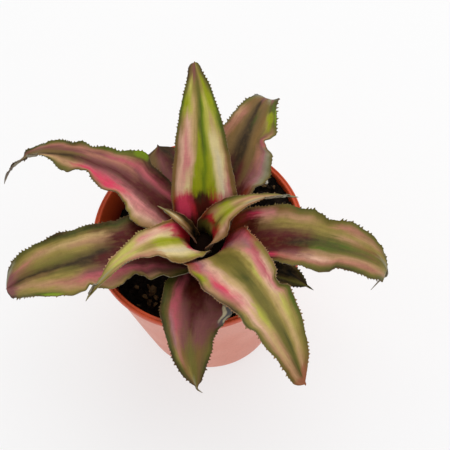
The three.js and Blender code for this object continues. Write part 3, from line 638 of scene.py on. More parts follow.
def turned(name, rings, sides):
    """A turned shape: a disc at the first ring of [radius, height], extruded ring by ring."""
    start_fresh()
    radius, height = rings[0]
    bpy.ops.mesh.primitive_circle_add(
        vertices=sides, radius=radius * MM, fill_type="NGON", location=(0, 0, height * MM)
    )
    thing = bpy.context.object
    thing.name = thing.data.name = name
    bpy.ops.object.transform_apply(location=True)
    bpy.ops.object.mode_set(mode="EDIT")
    bpy.ops.mesh.select_mode(type="FACE")
    bpy.ops.mesh.select_all(action="SELECT")
    for next_radius, next_height in rings[1:]:
        rise = (0, 0, (next_height - height) * MM)
        bpy.ops.mesh.extrude_region_move(TRANSFORM_OT_translate={"value": rise})
        grow = next_radius / radius
        bpy.ops.transform.resize(value=(grow, grow, 1), center_override=(0, 0, next_height * MM))
        radius, height = next_radius, next_height
    bpy.ops.object.mode_set(mode="OBJECT")
    return thing


# ---- material helpers ---------------------------------------------------------------------


class Sheet:
    """A material's nodes, added one after another and joined by their sockets."""

    def __init__(self, name):
        self.material = bpy.data.materials.new(name)
        self.material.use_nodes = True
        self.tree = self.material.node_tree
        self.tree.nodes.clear()
        output = self.tree.nodes.new("ShaderNodeOutputMaterial")
        self.shader = self.tree.nodes.new("ShaderNodeBsdfPrincipled")
        self.tree.links.new(self.shader.outputs[0], output.inputs["Surface"])

    def give(self, socket, value):
        """A value or another node's output for a socket."""
        if isinstance(value, bpy.types.NodeSocket):
            self.tree.links.new(value, socket)
        elif value is not None:
            socket.default_value = value

    def add(self, kind, inputs=None, **settings):
        node = self.tree.nodes.new("ShaderNode" + kind)
        for key, value in settings.items():
            setattr(node, key, value)
        for key, value in (inputs or {}).items():
            self.give(node.inputs[key], value)
        return node

    def place(self):
        """The object's own coordinates, in metres."""
        return self.add("TexCoord").outputs["Object"]

    def math(self, operation, a, b=None, c=None, clamp=False):
        node = self.add("Math", {0: a, 1: b}, operation=operation, use_clamp=clamp)
        if c is not None:
            self.give(node.inputs[2], c)
        return node.outputs[0]

    def ease(self, value, low, high, start=0, end=1):
        """Maps a value from one range to another, smoothly and without overshoot."""
        inputs = {"Value": value, "From Min": low, "From Max": high, "To Min": start, "To Max": end}
        return self.add("MapRange", inputs, interpolation_type="SMOOTHSTEP").outputs[0]

    def scale(self, vector, x, y, z=1):
        return self.add("Mapping", {"Vector": vector, "Scale": (x, y, z)}).outputs[0]

    def noise(self, vector, size=1, detail=2, roughness=0.5):
        inputs = {"Vector": vector, "Scale": size, "Detail": detail, "Roughness": roughness}
        return self.add("TexNoise", inputs).outputs["Fac"]

    def sway(self, value, amount):
        """A noise, from 0 to 1, as a shift to both sides of 0."""
        return self.math("MULTIPLY_ADD", value, amount, -0.5 * amount)

    def about(self, value, amount):
        """A noise, from 0 to 1, as a factor about 1."""
        return self.math("MULTIPLY_ADD", value, amount, 1 - 0.5 * amount)

    def blend(self, factor, a, b, mode="MIX"):
        node = self.add("Mix", data_type="RGBA", blend_type=mode)
        self.give(node.inputs["Factor"], factor)
        self.give(node.inputs[6], a)
        self.give(node.inputs[7], b)
        return node.outputs[2]

    def ramp(self, value, stops):
        """Colours by place, from 0 to 1."""
        node = self.add("ValToRGB", {0: value})
        stops = sorted(stops)
        elements = node.color_ramp.elements
        while len(elements) < len(stops):
            elements.new(0.5)
        for element, (place, colour) in zip(elements, stops):
            element.position = place
            element.color = colour
        return node.outputs["Color"]

    def bump(self, height, strength, distance):
        inputs = {"Height": height, "Strength": strength, "Distance": distance}
        return self.add("Bump", inputs).outputs[0]

    def finish(self, colour, roughness, normal=None, specular=0.5):
        self.give(self.shader.inputs["Base Color"], colour)
        self.give(self.shader.inputs["Roughness"], roughness)
        self.shader.inputs["Specular IOR Level"].default_value = specular
        self.give(self.shader.inputs["Normal"], normal)
        return self.material


# ---- leaf materials -----------------------------------------------------------------------

MARGIN = 0.46  # the blade fills the UV map's width up to this far from its middle
VEIL = 0.01


def paint(name):
    """A named colour, less the light that the satin surface adds to it."""
    red, green, blue, _ = linear(PALETTE[name])
    return (*(max(c - VEIL, 0.4 * c) for c in (red, green, blue)), 1)


def stripes(words):
    """Ramp stops from words such as "olive 1, lime 0": a colour and its place across."""
    stops = []
    for word in words.split(","):
        name, place = word.split()
        stops.append((0.5 + MARGIN * float(place), paint(name)))
    return stops


def spot(sheet, uv, at, share, long, wide):
    """Distance from a mark's middle: 1 at its outline."""
    x = 0.5 + MARGIN * share
    grow = (1 / (MARGIN * wide), 1 / long, 0)
    move = (-x * grow[0], -at * grow[1], 0)
    near = sheet.add("Mapping", {"Vector": uv, "Location": move, "Scale": grow}).outputs[0]
    return sheet.add("VectorMath", {0: near}, operation="LENGTH").outputs["Value"]


def leaf_face(leaf, index, settings):
    """The striped upper face: zones of stripes, marks, blotches, streaks and cross bands."""
    sheet = Sheet(f"leaf {index + 1} upper face")
    uv = sheet.add("UVMap", uv_map="UVMap").outputs[0]
    across, along, _ = sheet.add("SeparateXYZ", {0: uv}).outputs
    span = sheet.scale(uv, leaf["width"], leaf["length"], 1)
    span = sheet.add("VectorMath", {0: span, 1: (11.3 * index, 7.7 * index, 0)}, operation="ADD")
    span = span.outputs[0]
    drift = sheet.noise(sheet.scale(span, 0.13, 0.04), 1, 2)
    streak = sheet.noise(sheet.scale(span, 0.9, 0.045), 1, 3, 0.55)
    blotch = sheet.noise(sheet.scale(span, 0.4, 0.16), 1, 3, 0.6)
    fine = sheet.noise(sheet.scale(span, 4, 0.2), 1, 3, 0.6)
    bands = sheet.noise(sheet.scale(span, 0.25, 2.2), 1, 3, 0.6)
    shift = sheet.sway(drift, 0.16)
    shift = sheet.math("ADD", shift, sheet.sway(streak, 0.07))
    shift = sheet.math("ADD", shift, sheet.sway(blotch, 0.06))
    off = sheet.math("ABSOLUTE", sheet.math("SUBTRACT", across, 0.5))
    place = sheet.math("MULTIPLY_ADD", shift, sheet.ease(off, 0.3, 0.46, 1, 0.45), across)
    reach = sheet.math("ADD", along, sheet.sway(streak, 0.1))
    reach = sheet.math("ADD", reach, sheet.sway(blotch, 0.12))
    zones = leaf["zones"]
    colour = sheet.ramp(place, stripes(zones[0][1]))
    for (near, _), (far, words) in zip(zones, zones[1:]):
        zone = sheet.ramp(place, stripes(words))
        colour = sheet.blend(sheet.ease(reach, near, far), colour, zone)
    for at, share, long, wide, name, strength in leaf["marks"]:
        near = sheet.math("ADD", spot(sheet, uv, at, share, long, wide), sheet.sway(blotch, 1.2))
        colour = sheet.blend(sheet.ease(near, 0.5, 1.2, strength, 0), colour, paint(name))
    mud = sheet.noise(sheet.scale(span, 0.55, 0.3), 1, 2, 0.6)
    colour = sheet.blend(sheet.ease(mud, 0.4, 0.75, 0, leaf["mud"]), colour, paint("brown"))
    light = sheet.math("MULTIPLY", sheet.about(streak, 0.26), sheet.about(fine, 0.3))
    light = sheet.math("MULTIPLY", light, sheet.about(bands, 0.26))
    light = sheet.math("MULTIPLY", light, sheet.about(blotch, 0.34))
    tone = sheet.add("CombineColor", {0: light, 1: light, 2: light}).outputs[0]
    colour = sheet.blend(1.0, colour, tone, "MULTIPLY")
    specks = sheet.noise(sheet.scale(span, 1.6, 1.6), 1, 2, 0.7)
    colour = sheet.blend(sheet.ease(specks, 0.72, 0.8, 0, 0.4), colour, paint("bone"))
    tooth = sheet.ease(off, MARGIN - 0.012, MARGIN + 0.012, 0, 0.5)
    colour = sheet.blend(tooth, colour, paint(leaf["teeth"]))
    rough = sheet.math("MULTIPLY_ADD", streak, 0.3, settings.roughness - 0.15)
    relief = sheet.math("ADD", fine, sheet.math("MULTIPLY", bands, 0.5))
    relief = sheet.math("ADD", relief, sheet.math("MULTIPLY", streak, 1.2))
    return sheet.finish(colour, rough, sheet.bump(relief, 0.3, 0.00014), settings.sheen)


def leaf_back():
    """The grey-green underside, with close-set pale scurf lines."""
    sheet = Sheet("leaf underside")
    uv = sheet.add("UVMap", uv_map="UVMap").outputs[0]
    span = sheet.scale(uv, 24, 80, 1)
    lines = sheet.noise(sheet.scale(span, 2.4, 0.05), 1, 3, 0.6)
    patches = sheet.noise(sheet.scale(span, 0.2, 0.1), 1, 3)
    bands = sheet.noise(sheet.scale(span, 0.3, 2.2), 1, 3, 0.6)
    patchy = sheet.ease(patches, 0.35, 0.65)
    green = sheet.blend(patchy, linear((98, 92, 66)), linear((104, 78, 66)))
    pale = sheet.blend(sheet.ease(lines, 0.4, 0.62), green, linear((164, 158, 138)))
    colour = sheet.blend(sheet.ease(bands, 0.45, 0.7, 0, 0.5), pale, linear((122, 116, 96)))
    relief = sheet.math("ADD", lines, sheet.math("MULTIPLY", bands, 0.4))
    return sheet.finish(colour, 0.72, sheet.bump(relief, 0.5, 0.0002), 0.25)


# ---- settings -----------------------------------------------------------------------------

POT_HEIGHT = 75
RIM_RADIUS = 45
FOOT_RADIUS = 30.5
RIM_OVERHANG = 1.1
COLLAR_DEPTH = 3.2
WALL = 1.7
BODY_RADIUS = RIM_RADIUS - RIM_OVERHANG
COLLAR_HEIGHT = POT_HEIGHT - COLLAR_DEPTH


class PotSettings(bpy.types.PropertyGroup):
    """Sizes and colours of the nursery pot."""

    height: FloatProperty(
        name="Height", description="Height of the pot", default=POT_HEIGHT * MM, unit="LENGTH"
    )
    rim_radius: FloatProperty(
        name="Rim radius", description="Outer radius of the rim", default=RIM_RADIUS * MM,
        unit="LENGTH",
    )
    foot_radius: FloatProperty(
        name="Foot radius", description="Radius of the foot", default=FOOT_RADIUS * MM,
        unit="LENGTH",
    )
    rim_colour: FloatVectorProperty(
        name="Rim colour", description="Colour of the rim and the inside",
        default=linear((206, 78, 34)), size=4, subtype="COLOR", min=0, max=1,
    )
    wall_colour: FloatVectorProperty(
        name="Wall colour", description="Colour of the outer wall",
        default=linear((224, 144, 122)), size=4, subtype="COLOR", min=0, max=1,
    )


class SoilSettings(bpy.types.PropertyGroup):
    """Amounts and colour of the potting mix."""

    crumbs: IntProperty(
        name="Crumbs", description="Dark crumbs on the surface", default=1100, min=0
    )
    bark: IntProperty(name="Bark bits", description="Tan bits of bark", default=26, min=0)
    perlite: IntProperty(name="Perlite", description="White grains", default=5, min=0)
    colour: FloatVectorProperty(
        name="Soil colour", description="Colour of the damp mix",
        default=linear((17, 13, 10)), size=4, subtype="COLOR", min=0, max=1,
    )


class LeafSettings(bpy.types.PropertyGroup):
    """What all the leaves share."""

    thickness: FloatProperty(
        name="Thickness", description="Thickness along the middle", default=0.9 * MM, unit="LENGTH"
    )
    tooth_spacing: FloatProperty(
        name="Tooth spacing", description="Distance between teeth, in millimetres", default=1.35
    )
    tooth_height: FloatProperty(
        name="Tooth height", description="Height of the teeth, in millimetres", default=0.75
    )
    roughness: FloatProperty(
        name="Roughness", description="Roughness of the upper face", default=0.55,
        min=0, max=1, subtype="FACTOR",
    )
    sheen: FloatProperty(
        name="Sheen", description="Strength of the satin reflection", default=0.18,
        min=0, max=1, subtype="FACTOR",
    )


class StageSettings(bpy.types.PropertyGroup):
    """Floor, light and camera."""

    floor_colour: FloatVectorProperty(
        name="Floor colour", description="Colour of the floor",
        default=(0.34, 0.34, 0.34, 1), size=4, subtype="COLOR", min=0, max=1,
    )
    floor_glow: FloatProperty(
        name="Floor glow", description="Light that the floor gives off itself", default=0.63, min=0
    )
    sky: FloatProperty(name="Surround", description="Strength of the surround", default=0.7, min=0)
    key: FloatProperty(
        name="Key light", description="Power of the key light", default=5, unit="POWER"
    )
    distance: FloatProperty(
        name="Camera distance", description="From the camera to its target", default=0.6,
        unit="LENGTH",
    )
    lens: FloatProperty(name="Lens", description="Focal length in millimetres", default=113.04)


# ---- pot ----------------------------------------------------------------------------------

DRAIN_HOLES = 8
DRAIN_RADIUS = 2.6
DRAIN_CIRCLE = 23


class EARTHSTAR_OT_pot(bpy.types.Operator):
    """Builds the nursery pot with its rim and drain holes"""

    bl_idname = "earthstar.pot"
    bl_label = "Nursery pot"

    def execute(self, context):
        settings = context.scene.earthstar_pot
        top = settings.height / MM
        rim = settings.rim_radius / MM
        foot = settings.foot_radius / MM
        collar = top - COLLAR_DEPTH
        body = rim - RIM_OVERHANG
        floor = 2.2

        def inner(height):
            return mix(foot, body, height / collar) - WALL

        rings = [
            (foot - 3.6, 0.7), (foot - 3.2, 0.1), (foot - 2.8, 0), (foot - 1.4, 0),
            (foot - 0.6, 0.3), (foot, 1.2), (foot + 0.4, 3), (mix(foot, body, 0.3), 0.3 * collar),
            (mix(foot, body, 0.65), 0.65 * collar), (body - 0.1, collar - 0.3),
            (body + 0.1, collar), (rim - 0.5, collar), (rim - 0.1, collar + 0.2),
            (rim, collar + 0.6), (rim, top - 0.7),
            (rim - 0.15, top - 0.25), (rim - 0.5, top), (rim - 0.8, top - 0.05),
            (rim - 1.1, top - 0.35), (rim - 1.4, top - 0.35), (rim - 1.7, top - 0.05),
            (rim - 1.95, top), (rim - 2.25, top - 0.2), (rim - 2.4, top - 0.6),
            (inner(collar) + 0.1, collar - 0.4), (inner(0.7 * collar), 0.7 * collar),
            (inner(0.3 * collar), 0.3 * collar), (inner(floor) + 0.1, floor + 0.8),
            (inner(floor) - 0.8, floor), (inner(floor) - 4, floor),
        ]
        pot = turned("pot_shell", rings, 128)
        settle(pot)
        self.drill(pot)
        coat(pot, self.plastic(settings))
        settle(pot)
        finish_piece(pot, "pot_plastic", "pot")
        return {"FINISHED"}

    def drill(self, pot):
        """Cuts the ring of drain holes through the floor."""
        for i in range(DRAIN_HOLES):
            angle = (i + 0.5) / DRAIN_HOLES * 2 * math.pi
            x, y = DRAIN_CIRCLE * math.cos(angle), DRAIN_CIRCLE * math.sin(angle)
            start_fresh()
            bpy.ops.mesh.primitive_cylinder_add(
                vertices=24, radius=DRAIN_RADIUS * MM, depth=8 * MM,
                location=(x * MM, y * MM, 1.5 * MM),
            )
            drill = bpy.context.object
            apply_modifier(pot, "BOOLEAN", operation="DIFFERENCE", object=drill, solver="EXACT")
            bpy.data.objects.remove(drill)

    def plastic(self, settings):
        """Terracotta-coloured plastic: saturated at the rim, with painted shade darkening the
        inside further down, and paler on the outer wall.
        """
        sheet = Sheet("nursery pot plastic")
        place = sheet.place()
        x, y, z = sheet.add("SeparateXYZ", {0: place}).outputs
        radius = sheet.math("SQRT", sheet.math("MULTIPLY_ADD", x, x, sheet.math("MULTIPLY", y, y)))
        slope = (BODY_RADIUS - FOOT_RADIUS) / COLLAR_HEIGHT
        wall = sheet.math("MULTIPLY_ADD", z, slope, (FOOT_RADIUS - 0.9) * MM)
        outside = sheet.math("GREATER_THAN", radius, wall)
        below = sheet.ease(z, 71.2 * MM, 71.9 * MM, 1, 0)
        grain = sheet.noise(place, 900, 3, 0.6)
        cloud = sheet.noise(place, 40, 2)
        pale = sheet.math("MULTIPLY", outside, below)
        # painted shade: the inner wall goes from the rim colour at the top to deep red lower down
        inside = sheet.blend(
            sheet.ease(z, 55 * MM, 74 * MM), linear((122, 32, 12)), tuple(settings.rim_colour)
        )
        clouded = sheet.ease(cloud, 0.35, 0.65)
        outer = sheet.blend(clouded, tuple(settings.wall_colour), linear((218, 136, 114)))
        colour = sheet.blend(pale, inside, outer)
        colour = sheet.blend(sheet.ease(grain, 0.35, 0.7, 0, 0.12), colour, linear((120, 40, 20)))
        rough = sheet.math("MULTIPLY_ADD", cloud, 0.2, 0.36)
        return sheet.finish(colour, rough, sheet.bump(grain, 0.25, 0.0001), 0.4)


# ---- soil ---------------------------------------------------------------------------------

SOIL_HEIGHT = 65
SOIL_CLEARANCE = 0.3
SOIL_HEADING = 20
SOIL_SLOPE = 0.2
SOIL_REACH = 42
CROWN_CLEARANCE = 9


def soil_height(x, y):
    """Height of the soil's top at a place in plan, without its fine crumbs."""
    heading = math.radians(SOIL_HEADING)
    away = smooth(math.hypot(x - CROWN_X, y - CROWN_Y), 12, 35)
    slope = SOIL_SLOPE * (x * math.cos(heading) + y * math.sin(heading))
    coarse = math.sin(x / 1.7 + 1.3) * math.cos(y / 1.7)
    fine = 0.6 * math.sin((2.2 * x - 1.8 * y) / 1.7)
    return SOIL_HEIGHT + away * (slope + 0.9 * (coarse + fine))


def crumbly(x, y):
    """The soil's top with its lumps."""
    lump = noise.noise(Vector((x / 2.3, y / 2.3, 4.1))) + 0.6 * noise.noise(Vector((x, y, 9.7)))
    return soil_height(x, y) + 1.1 * lump - 0.3


def wall_radius(height):
    """Radius of the soil against the pot's inner wall."""
    return mix(FOOT_RADIUS, BODY_RADIUS, height / COLLAR_HEIGHT) - WALL - SOIL_CLEARANCE


class EARTHSTAR_OT_soil(bpy.types.Operator):
    """Builds the plug of potting mix, with a crumbly top"""

    bl_idname = "earthstar.soil"
    bl_label = "Potting mix"

    def execute(self, context):
        rings = [(wall_radius(2.5) - 1, 2.5), (wall_radius(3.5), 3.5), (wall_radius(35), 35)]
        edge = wall_radius(56)
        rings.append((edge, 56))
        count = 54
        for i in range(count):
            rings.append((mix(edge - 0.2, 0.6, i / (count - 1)), 57 + 0.01 * i))
        soil = turned("soil_plug", rings, 150)
        for vertex in soil.data.vertices:
            x, y, z = vertex.co / MM
            if z < 55.9:
                continue
            radius = math.hypot(x, y)
            top = crumbly(x, y)
            full = wall_radius(top) if radius > edge - 0.3 else radius * wall_radius(top) / edge
            grow = full / radius
            vertex.co = Vector((x * grow, y * grow, top - (4 if z < 56.5 else 0))) * MM
        coat(soil, self.earth(context.scene.earthstar_soil))
        settle(soil, 60)
        finish_piece(soil, "potting_soil", "soil")
        return {"FINISHED"}

    def earth(self, settings):
        """Damp dark mix with brown fibres and small pale grains."""
        sheet = Sheet("potting mix")
        place = sheet.place()
        lumps = sheet.noise(place, 420, 4, 0.7)
        grains = sheet.noise(place, 1500, 3, 0.7)
        lumpy = sheet.ease(lumps, 0.42, 0.72)
        colour = sheet.blend(lumpy, tuple(settings.colour), linear((36, 26, 19)))
        colour = sheet.blend(sheet.ease(grains, 0.68, 0.76, 0, 0.6), colour, linear((92, 72, 50)))
        return sheet.finish(colour, 0.95, sheet.bump(grains, 0.9, 0.0006), 0.1)


def scatter(name, seeds, places):
    """Copies of the seed shapes at these matrices, each with its own mesh, as one piece."""
    copies = []
    for i, place in enumerate(places):
        mesh = seeds[i % len(seeds)].data.copy()
        mesh.transform(place)
        copy = bpy.data.objects.new(f"{name}.{i}", mesh)
        bpy.context.scene.collection.objects.link(copy)
        copies.append(copy)
    start_fresh()
    for copy in copies:
        copy.select_set(True)
    bpy.context.view_layer.objects.active = copies[0]
    bpy.ops.object.join()
    for seed in seeds:
        bpy.data.objects.remove(seed)
    copies[0].name = copies[0].data.name = name
    return copies[0]


def lump_seeds(rng, count, squash):
    """A few angular lumps, knocked out of round balls."""
    seeds = []
    for _ in range(count):
        start_fresh()
        bpy.ops.mesh.primitive_ico_sphere_add(subdivisions=1, radius=1)
        lump = bpy.context.object
        for vertex in lump.data.vertices:
            vertex.co *= rng.uniform(0.65, 1.25)
            vertex.co.z *= squash
        seeds.append(lump)
    return seeds


# Heaps of bits: place in plan, spread, and how many bits.
HEAPS = {
    "bark_bits": [(-24, -21.5, 2.2, 12)],
    "perlite_grains": [(-33.5, 18.4, 0.5, 2), (32.3, 20.5, 0.6, 2)],
}


def ground_places(rng, count, sizes, sink, heaps):
    """Matrices for lumps that lie on the soil, clear of the crown and of the wall."""
    places = []
    queue = [heap for heap in heaps for _ in range(heap[3])]
    while len(places) < count:
        x, y = (rng.uniform(-SOIL_REACH, SOIL_REACH) for _ in range(2))
        if queue:
            heap_x, heap_y, spread, _ = queue.pop()
            x, y = rng.gauss(heap_x, spread), rng.gauss(heap_y, spread)
        size = rng.uniform(*sizes)
        height = crumbly(x, y)
        if math.hypot(x, y) > wall_radius(height) - 1.2 * size:
            continue
        if math.hypot(x - CROWN_X, y - CROWN_Y) < CROWN_CLEARANCE:
            continue
        turn = Matrix.Rotation(rng.uniform(0, 6.28), 4, Vector((rng.random(), rng.random(), 1)))
        shift = Matrix.Translation(Vector((x, y, height + sink * size)) * MM)
        places.append(shift @ turn @ Matrix.Scale(size * MM, 4))
    return places


class EARTHSTAR_OT_soil_bits(bpy.types.Operator):
    """Scatters crumbs, bark bits and perlite over the potting mix"""

    bl_idname = "earthstar.soil_bits"
    bl_label = "Crumbs, bark and perlite"

    def execute(self, context):
        settings = context.scene.earthstar_soil
        rng = random.Random(11)
        kinds = [
            ("soil_crumbs", settings.crumbs, (0.35, 1.2), 0.9, 0.1, (15, 11, 8), (42, 31, 23)),
            ("bark_bits", settings.bark, (0.8, 2.1), 0.45, 0.4, (58, 42, 28), (122, 94, 60)),
            ("perlite_grains", settings.perlite, (0.6, 1.1), 0.9, 0.5, (196, 188, 170),
             (232, 228, 216)),
        ]
        for name, count, sizes, squash, sink, dark, light in kinds:
            seeds = lump_seeds(rng, 6, squash)
            heaps = HEAPS.get(name, [])
            bits = scatter(name, seeds, ground_places(rng, count, sizes, sink, heaps))
            coat(bits, self.grit(name, dark, light))
            settle(bits, 30)
            finish_piece(bits, "potting_soil")
        return {"FINISHED"}

    def grit(self, name, dark, light):
        sheet = Sheet(name.replace("_", " "))
        place = sheet.place()
        patch = sheet.noise(place, 260, 3, 0.7)
        grain = sheet.noise(sheet.scale(place, 1, 1, 0.4), 2600, 3, 0.7)
        colour = sheet.blend(sheet.ease(patch, 0.3, 0.7), linear(dark), linear(light))
        colour = sheet.blend(sheet.ease(grain, 0.5, 0.8, 0, 0.5), colour, linear(dark))
        return sheet.finish(colour, 0.92, sheet.bump(grain, 0.8, 0.0003), 0.15)


# ---- crown --------------------------------------------------------------------------------


class EARTHSTAR_OT_crown(bpy.types.Operator):
    """Builds the short stem that carries the leaves"""

    bl_idname = "earthstar.crown"
    bl_label = "Crown stem"

    def execute(self, context):
        base = seat(len(LEAVES))[1]
        rings = [(1.2, base - 18), (2.5, base - 17), (4.4, base - 9), (6, base - 1)]
        for i in range(len(LEAVES) * 2, -1, -1):
            radius, height = seat(i / 2)
            rings.append((radius - 0.5 - (0.35 if i % 2 else 0), height))
        rings += [(1.3, CROWN_TOP + 0.2), (0.4, CROWN_TOP + 0.4)]
        crown = turned("crown_core", rings, 72)
        for vertex in crown.data.vertices:
            place = vertex.co / MM
            wobble = 1 - 0.05 * abs(noise.noise(place * 0.5))
            x, y = place.x * wobble + CROWN_X, place.y * wobble + CROWN_Y
            vertex.co = Vector((x, y, place.z)) * MM
        coat(crown, self.bark())
        settle(crown, 60)
        finish_piece(crown, "stem", "crown_stem")
        return {"FINISHED"}

    def bark(self):
        """Red-brown stem with upright fibres, with painted shade, near black, towards the heart."""
        sheet = Sheet("crown stem")
        place = sheet.place()
        z = sheet.add("SeparateXYZ", {0: place}).outputs[2]
        fibres = sheet.noise(sheet.scale(place, 1, 1, 0.15), 900, 4, 0.6)
        fibrous = sheet.ease(fibres, 0.35, 0.7)
        colour = sheet.blend(fibrous, linear((84, 40, 34)), linear((140, 92, 66)))
        # the near-black blend towards the top is painted shade deep in the cup, over the stem's
        # red-brown
        dark = sheet.blend(fibres, linear((10, 6, 4)), linear((30, 16, 8)))
        colour = sheet.blend(sheet.ease(z, 67 * MM, 71 * MM), colour, dark)
        return sheet.finish(colour, 0.9, sheet.bump(fibres, 0.6, 0.0004), 0.05)


# ---- leaves -------------------------------------------------------------------------------

COLUMNS = 26  # faces across a blade; the outermost on each side are its teeth
TOOTH_COLUMN = 1.02  # places further across than this are on the teeth


class EARTHSTAR_OT_leaf(bpy.types.Operator):
    """Builds one leaf with its toothed margins, stripes and grey underside"""

    bl_idname = "earthstar.leaf"
    bl_label = "Leaf"

    number: IntProperty(
        name="Leaf", description="Leaf to build, youngest first", default=1, min=1, max=12
    )

    def execute(self, context):
        index = self.number - 1
        leaf = LEAVES[index]
        settings = context.scene.earthstar_leaf
        rows = row_places(leaf, settings)
        start_fresh()
        bpy.ops.mesh.primitive_grid_add(
            x_subdivisions=COLUMNS, y_subdivisions=len(rows) - 1, size=2, location=(0, 0, 0)
        )
        blade = bpy.context.object
        blade.name = blade.data.name = f"leaf_{self.number:02d}_blade"
        self.shape(blade, leaf, index, rows, settings)
        face = leaf_face(leaf, index, settings)
        coat(blade, face, bpy.data.materials.get("leaf underside") or leaf_back())
        apply_modifier(
            blade, "SOLIDIFY", thickness=settings.thickness, offset=-1, vertex_group="body",
            thickness_vertex_group=0.05, use_quality_normals=True, material_offset=1,
        )
        only(blade)
        bpy.ops.object.shade_smooth_by_angle(angle=math.radians(50))
        blade.vertex_groups.clear()
        finish_piece(blade, leaf["slot"], f"leaf_{self.number:02d}")
        return {"FINISHED"}

    def shape(self, blade, leaf, index, rows, settings):
        """Lays the flat grid along the leaf's centre line, with its teeth and UV map."""
        rng = random.Random(index)
        heights = {}
        for row in range(len(rows)):
            for sign in (-1, 1):
                height = rng.choice((0.15, 0.4, 0.6, 0.8, 1, 1.25)) * rng.uniform(0.8, 1.1)
                heights[row, sign] = settings.tooth_height * leaf["tooth"] * height
        steps = centre_line(leaf, index)
        mesh = blade.data
        body = blade.vertex_groups.new(name="body")
        last = len(rows) - 1
        marks = []
        for vertex in mesh.vertices:
            across = -vertex.co.x * COLUMNS / (COLUMNS - 2)
            share = min(max(across, -1), 1)
            row = round((vertex.co.y + 1) / 2 * last)
            s, toothed = rows[row]
            tooth = 0
            if abs(across) > TOOTH_COLUMN:
                tooth = heights[row, 1 if share > 0 else -1] if toothed else 0.04
                tooth *= 1 - smooth(s, leaf["length"] - 2 * TIP_POINT, leaf["length"])
            vertex.co = blade_point(leaf, index, steps, share, s, tooth) * MM
            on_tooth = abs(across) > TOOTH_COLUMN
            beyond = math.copysign(0.04, share) if on_tooth else 0
            marks.append((0.5 + beyond + MARGIN * share, min(s / leaf["length"], 1)))
            weight = 0.2 if on_tooth else 1 - 0.5 * smooth(abs(share), 0.7, 1)
            thin_from, thin_to = leaf["length"] - TIP_POINT, leaf["length"] + leaf["spine"]
            weight *= 1 - 0.75 * smooth(s, thin_from, thin_to)
            body.add([vertex.index], weight, "REPLACE")
        layer = mesh.uv_layers["UVMap"].data
        for loop in mesh.loops:
            layer[loop.index].uv = marks[loop.vertex_index]


# ---- stage --------------------------------------------------------------------------------

CAMERA_TILT = 60.75
CAMERA_ROLL = -6.93
CAMERA_TARGET = (11.71, 1.61, 75)


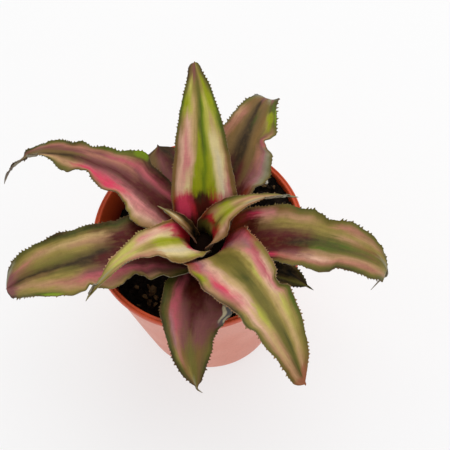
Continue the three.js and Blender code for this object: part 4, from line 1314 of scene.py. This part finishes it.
class EARTHSTAR_OT_stage(bpy.types.Operator):
    """Adds the floor, the light and the camera"""

    bl_idname = "earthstar.stage"
    bl_label = "Stage"

    def execute(self, context):
        settings = context.scene.earthstar_stage
        start_fresh()
        bpy.ops.mesh.primitive_plane_add(size=8, location=(0, 0, -0.0002))
        floor = bpy.context.object
        floor.name = "floor"
        sheet = Sheet("pale floor")
        place = sheet.place()
        mottle = sheet.noise(place, 3, 2)
        colour = sheet.blend(
            sheet.ease(mottle, 0.3, 0.7), tuple(settings.floor_colour), (0.33, 0.33, 0.335, 1)
        )
        sheet.shader.inputs["Emission Color"].default_value = (1, 1, 1, 1)
        sheet.shader.inputs["Emission Strength"].default_value = settings.floor_glow
        coat(floor, sheet.finish(colour, 0.9, specular=0.1))
        self.light(context, settings)
        self.camera(context, settings)
        return {"FINISHED"}

    def light(self, context, settings):
        world = bpy.data.worlds.new("studio surround")
        world.use_nodes = True
        background = world.node_tree.nodes["Background"]
        background.inputs["Color"].default_value = (1, 1, 1, 1)
        background.inputs["Strength"].default_value = settings.sky
        context.scene.world = world
        lamp = bpy.data.lights.new("key", "AREA")
        lamp.energy = settings.key
        lamp.size = 1.1
        key = bpy.data.objects.new("key", lamp)
        key.location = (0.25, 0.35, 1)
        key.rotation_mode = "QUATERNION"
        aim = Vector((0, 0, 0.06)) - key.location
        key.rotation_quaternion = aim.to_track_quat("-Z", "Y")
        context.scene.collection.objects.link(key)
        context.scene.view_settings.view_transform = "Standard"
        context.scene.view_settings.look = "None"

    def camera(self, context, settings):
        """A long lens that looks down at the rosette, rolled a little."""
        data = bpy.data.cameras.new("camera")
        data.lens = settings.lens
        data.sensor_width = 36
        camera = bpy.data.objects.new("camera", data)
        tilt = math.radians(CAMERA_TILT)
        roll = math.radians(CAMERA_ROLL)
        back = Vector((0, -math.cos(tilt), math.sin(tilt)))
        up = Vector((0, math.sin(tilt), math.cos(tilt)))
        right = Vector((1, 0, 0))
        x_axis = right * math.cos(roll) + up * math.sin(roll)
        y_axis = up * math.cos(roll) - right * math.sin(roll)
        turn = Matrix((x_axis, y_axis, back)).transposed()
        camera.location = Vector(CAMERA_TARGET) * MM + back * settings.distance
        camera.rotation_mode = "QUATERNION"
        camera.rotation_quaternion = turn.to_quaternion()
        context.scene.collection.objects.link(camera)
        context.scene.camera = camera


# ---- panel and registration ---------------------------------------------------------------


class EARTHSTAR_PT_panel(bpy.types.Panel):
    """Lists the pieces of the plant and their settings"""

    bl_idname = "EARTHSTAR_PT_panel"
    bl_label = "Earth Star"
    bl_space_type = "VIEW_3D"
    bl_region_type = "UI"
    bl_category = "Earth Star"

    def draw(self, context):
        for name, operators in PANEL_ROWS:
            box = self.layout.box()
            settings = getattr(context.scene, name)
            for key in type(settings).__annotations__:
                box.prop(settings, key)
            for operator in operators:
                box.operator(operator)


PANEL_ROWS = [
    ("earthstar_pot", ["earthstar.pot"]),
    ("earthstar_soil", ["earthstar.soil", "earthstar.soil_bits"]),
    ("earthstar_leaf", ["earthstar.crown", "earthstar.leaf"]),
    ("earthstar_stage", ["earthstar.stage"]),
]
GROUPS = {
    "earthstar_pot": PotSettings,
    "earthstar_soil": SoilSettings,
    "earthstar_leaf": LeafSettings,
    "earthstar_stage": StageSettings,
}
CLASSES = [
    *GROUPS.values(),
    EARTHSTAR_OT_pot,
    EARTHSTAR_OT_soil,
    EARTHSTAR_OT_soil_bits,
    EARTHSTAR_OT_crown,
    EARTHSTAR_OT_leaf,
    EARTHSTAR_OT_stage,
    EARTHSTAR_PT_panel,
]


def register():
    for cls in CLASSES:
        bpy.utils.register_class(cls)
    for name, group in GROUPS.items():
        setattr(bpy.types.Scene, name, PointerProperty(type=group))


def unregister():
    for name in GROUPS:
        delattr(bpy.types.Scene, name)
    for cls in reversed(CLASSES):
        bpy.utils.unregister_class(cls)


def main():
    register()
    bpy.ops.earthstar.stage()
    bpy.ops.earthstar.pot()
    bpy.ops.earthstar.soil()
    bpy.ops.earthstar.soil_bits()
    bpy.ops.earthstar.crown()
    for number in range(1, len(LEAVES) + 1):
        bpy.ops.earthstar.leaf(number=number)


if __name__ == "__main__":
    main()
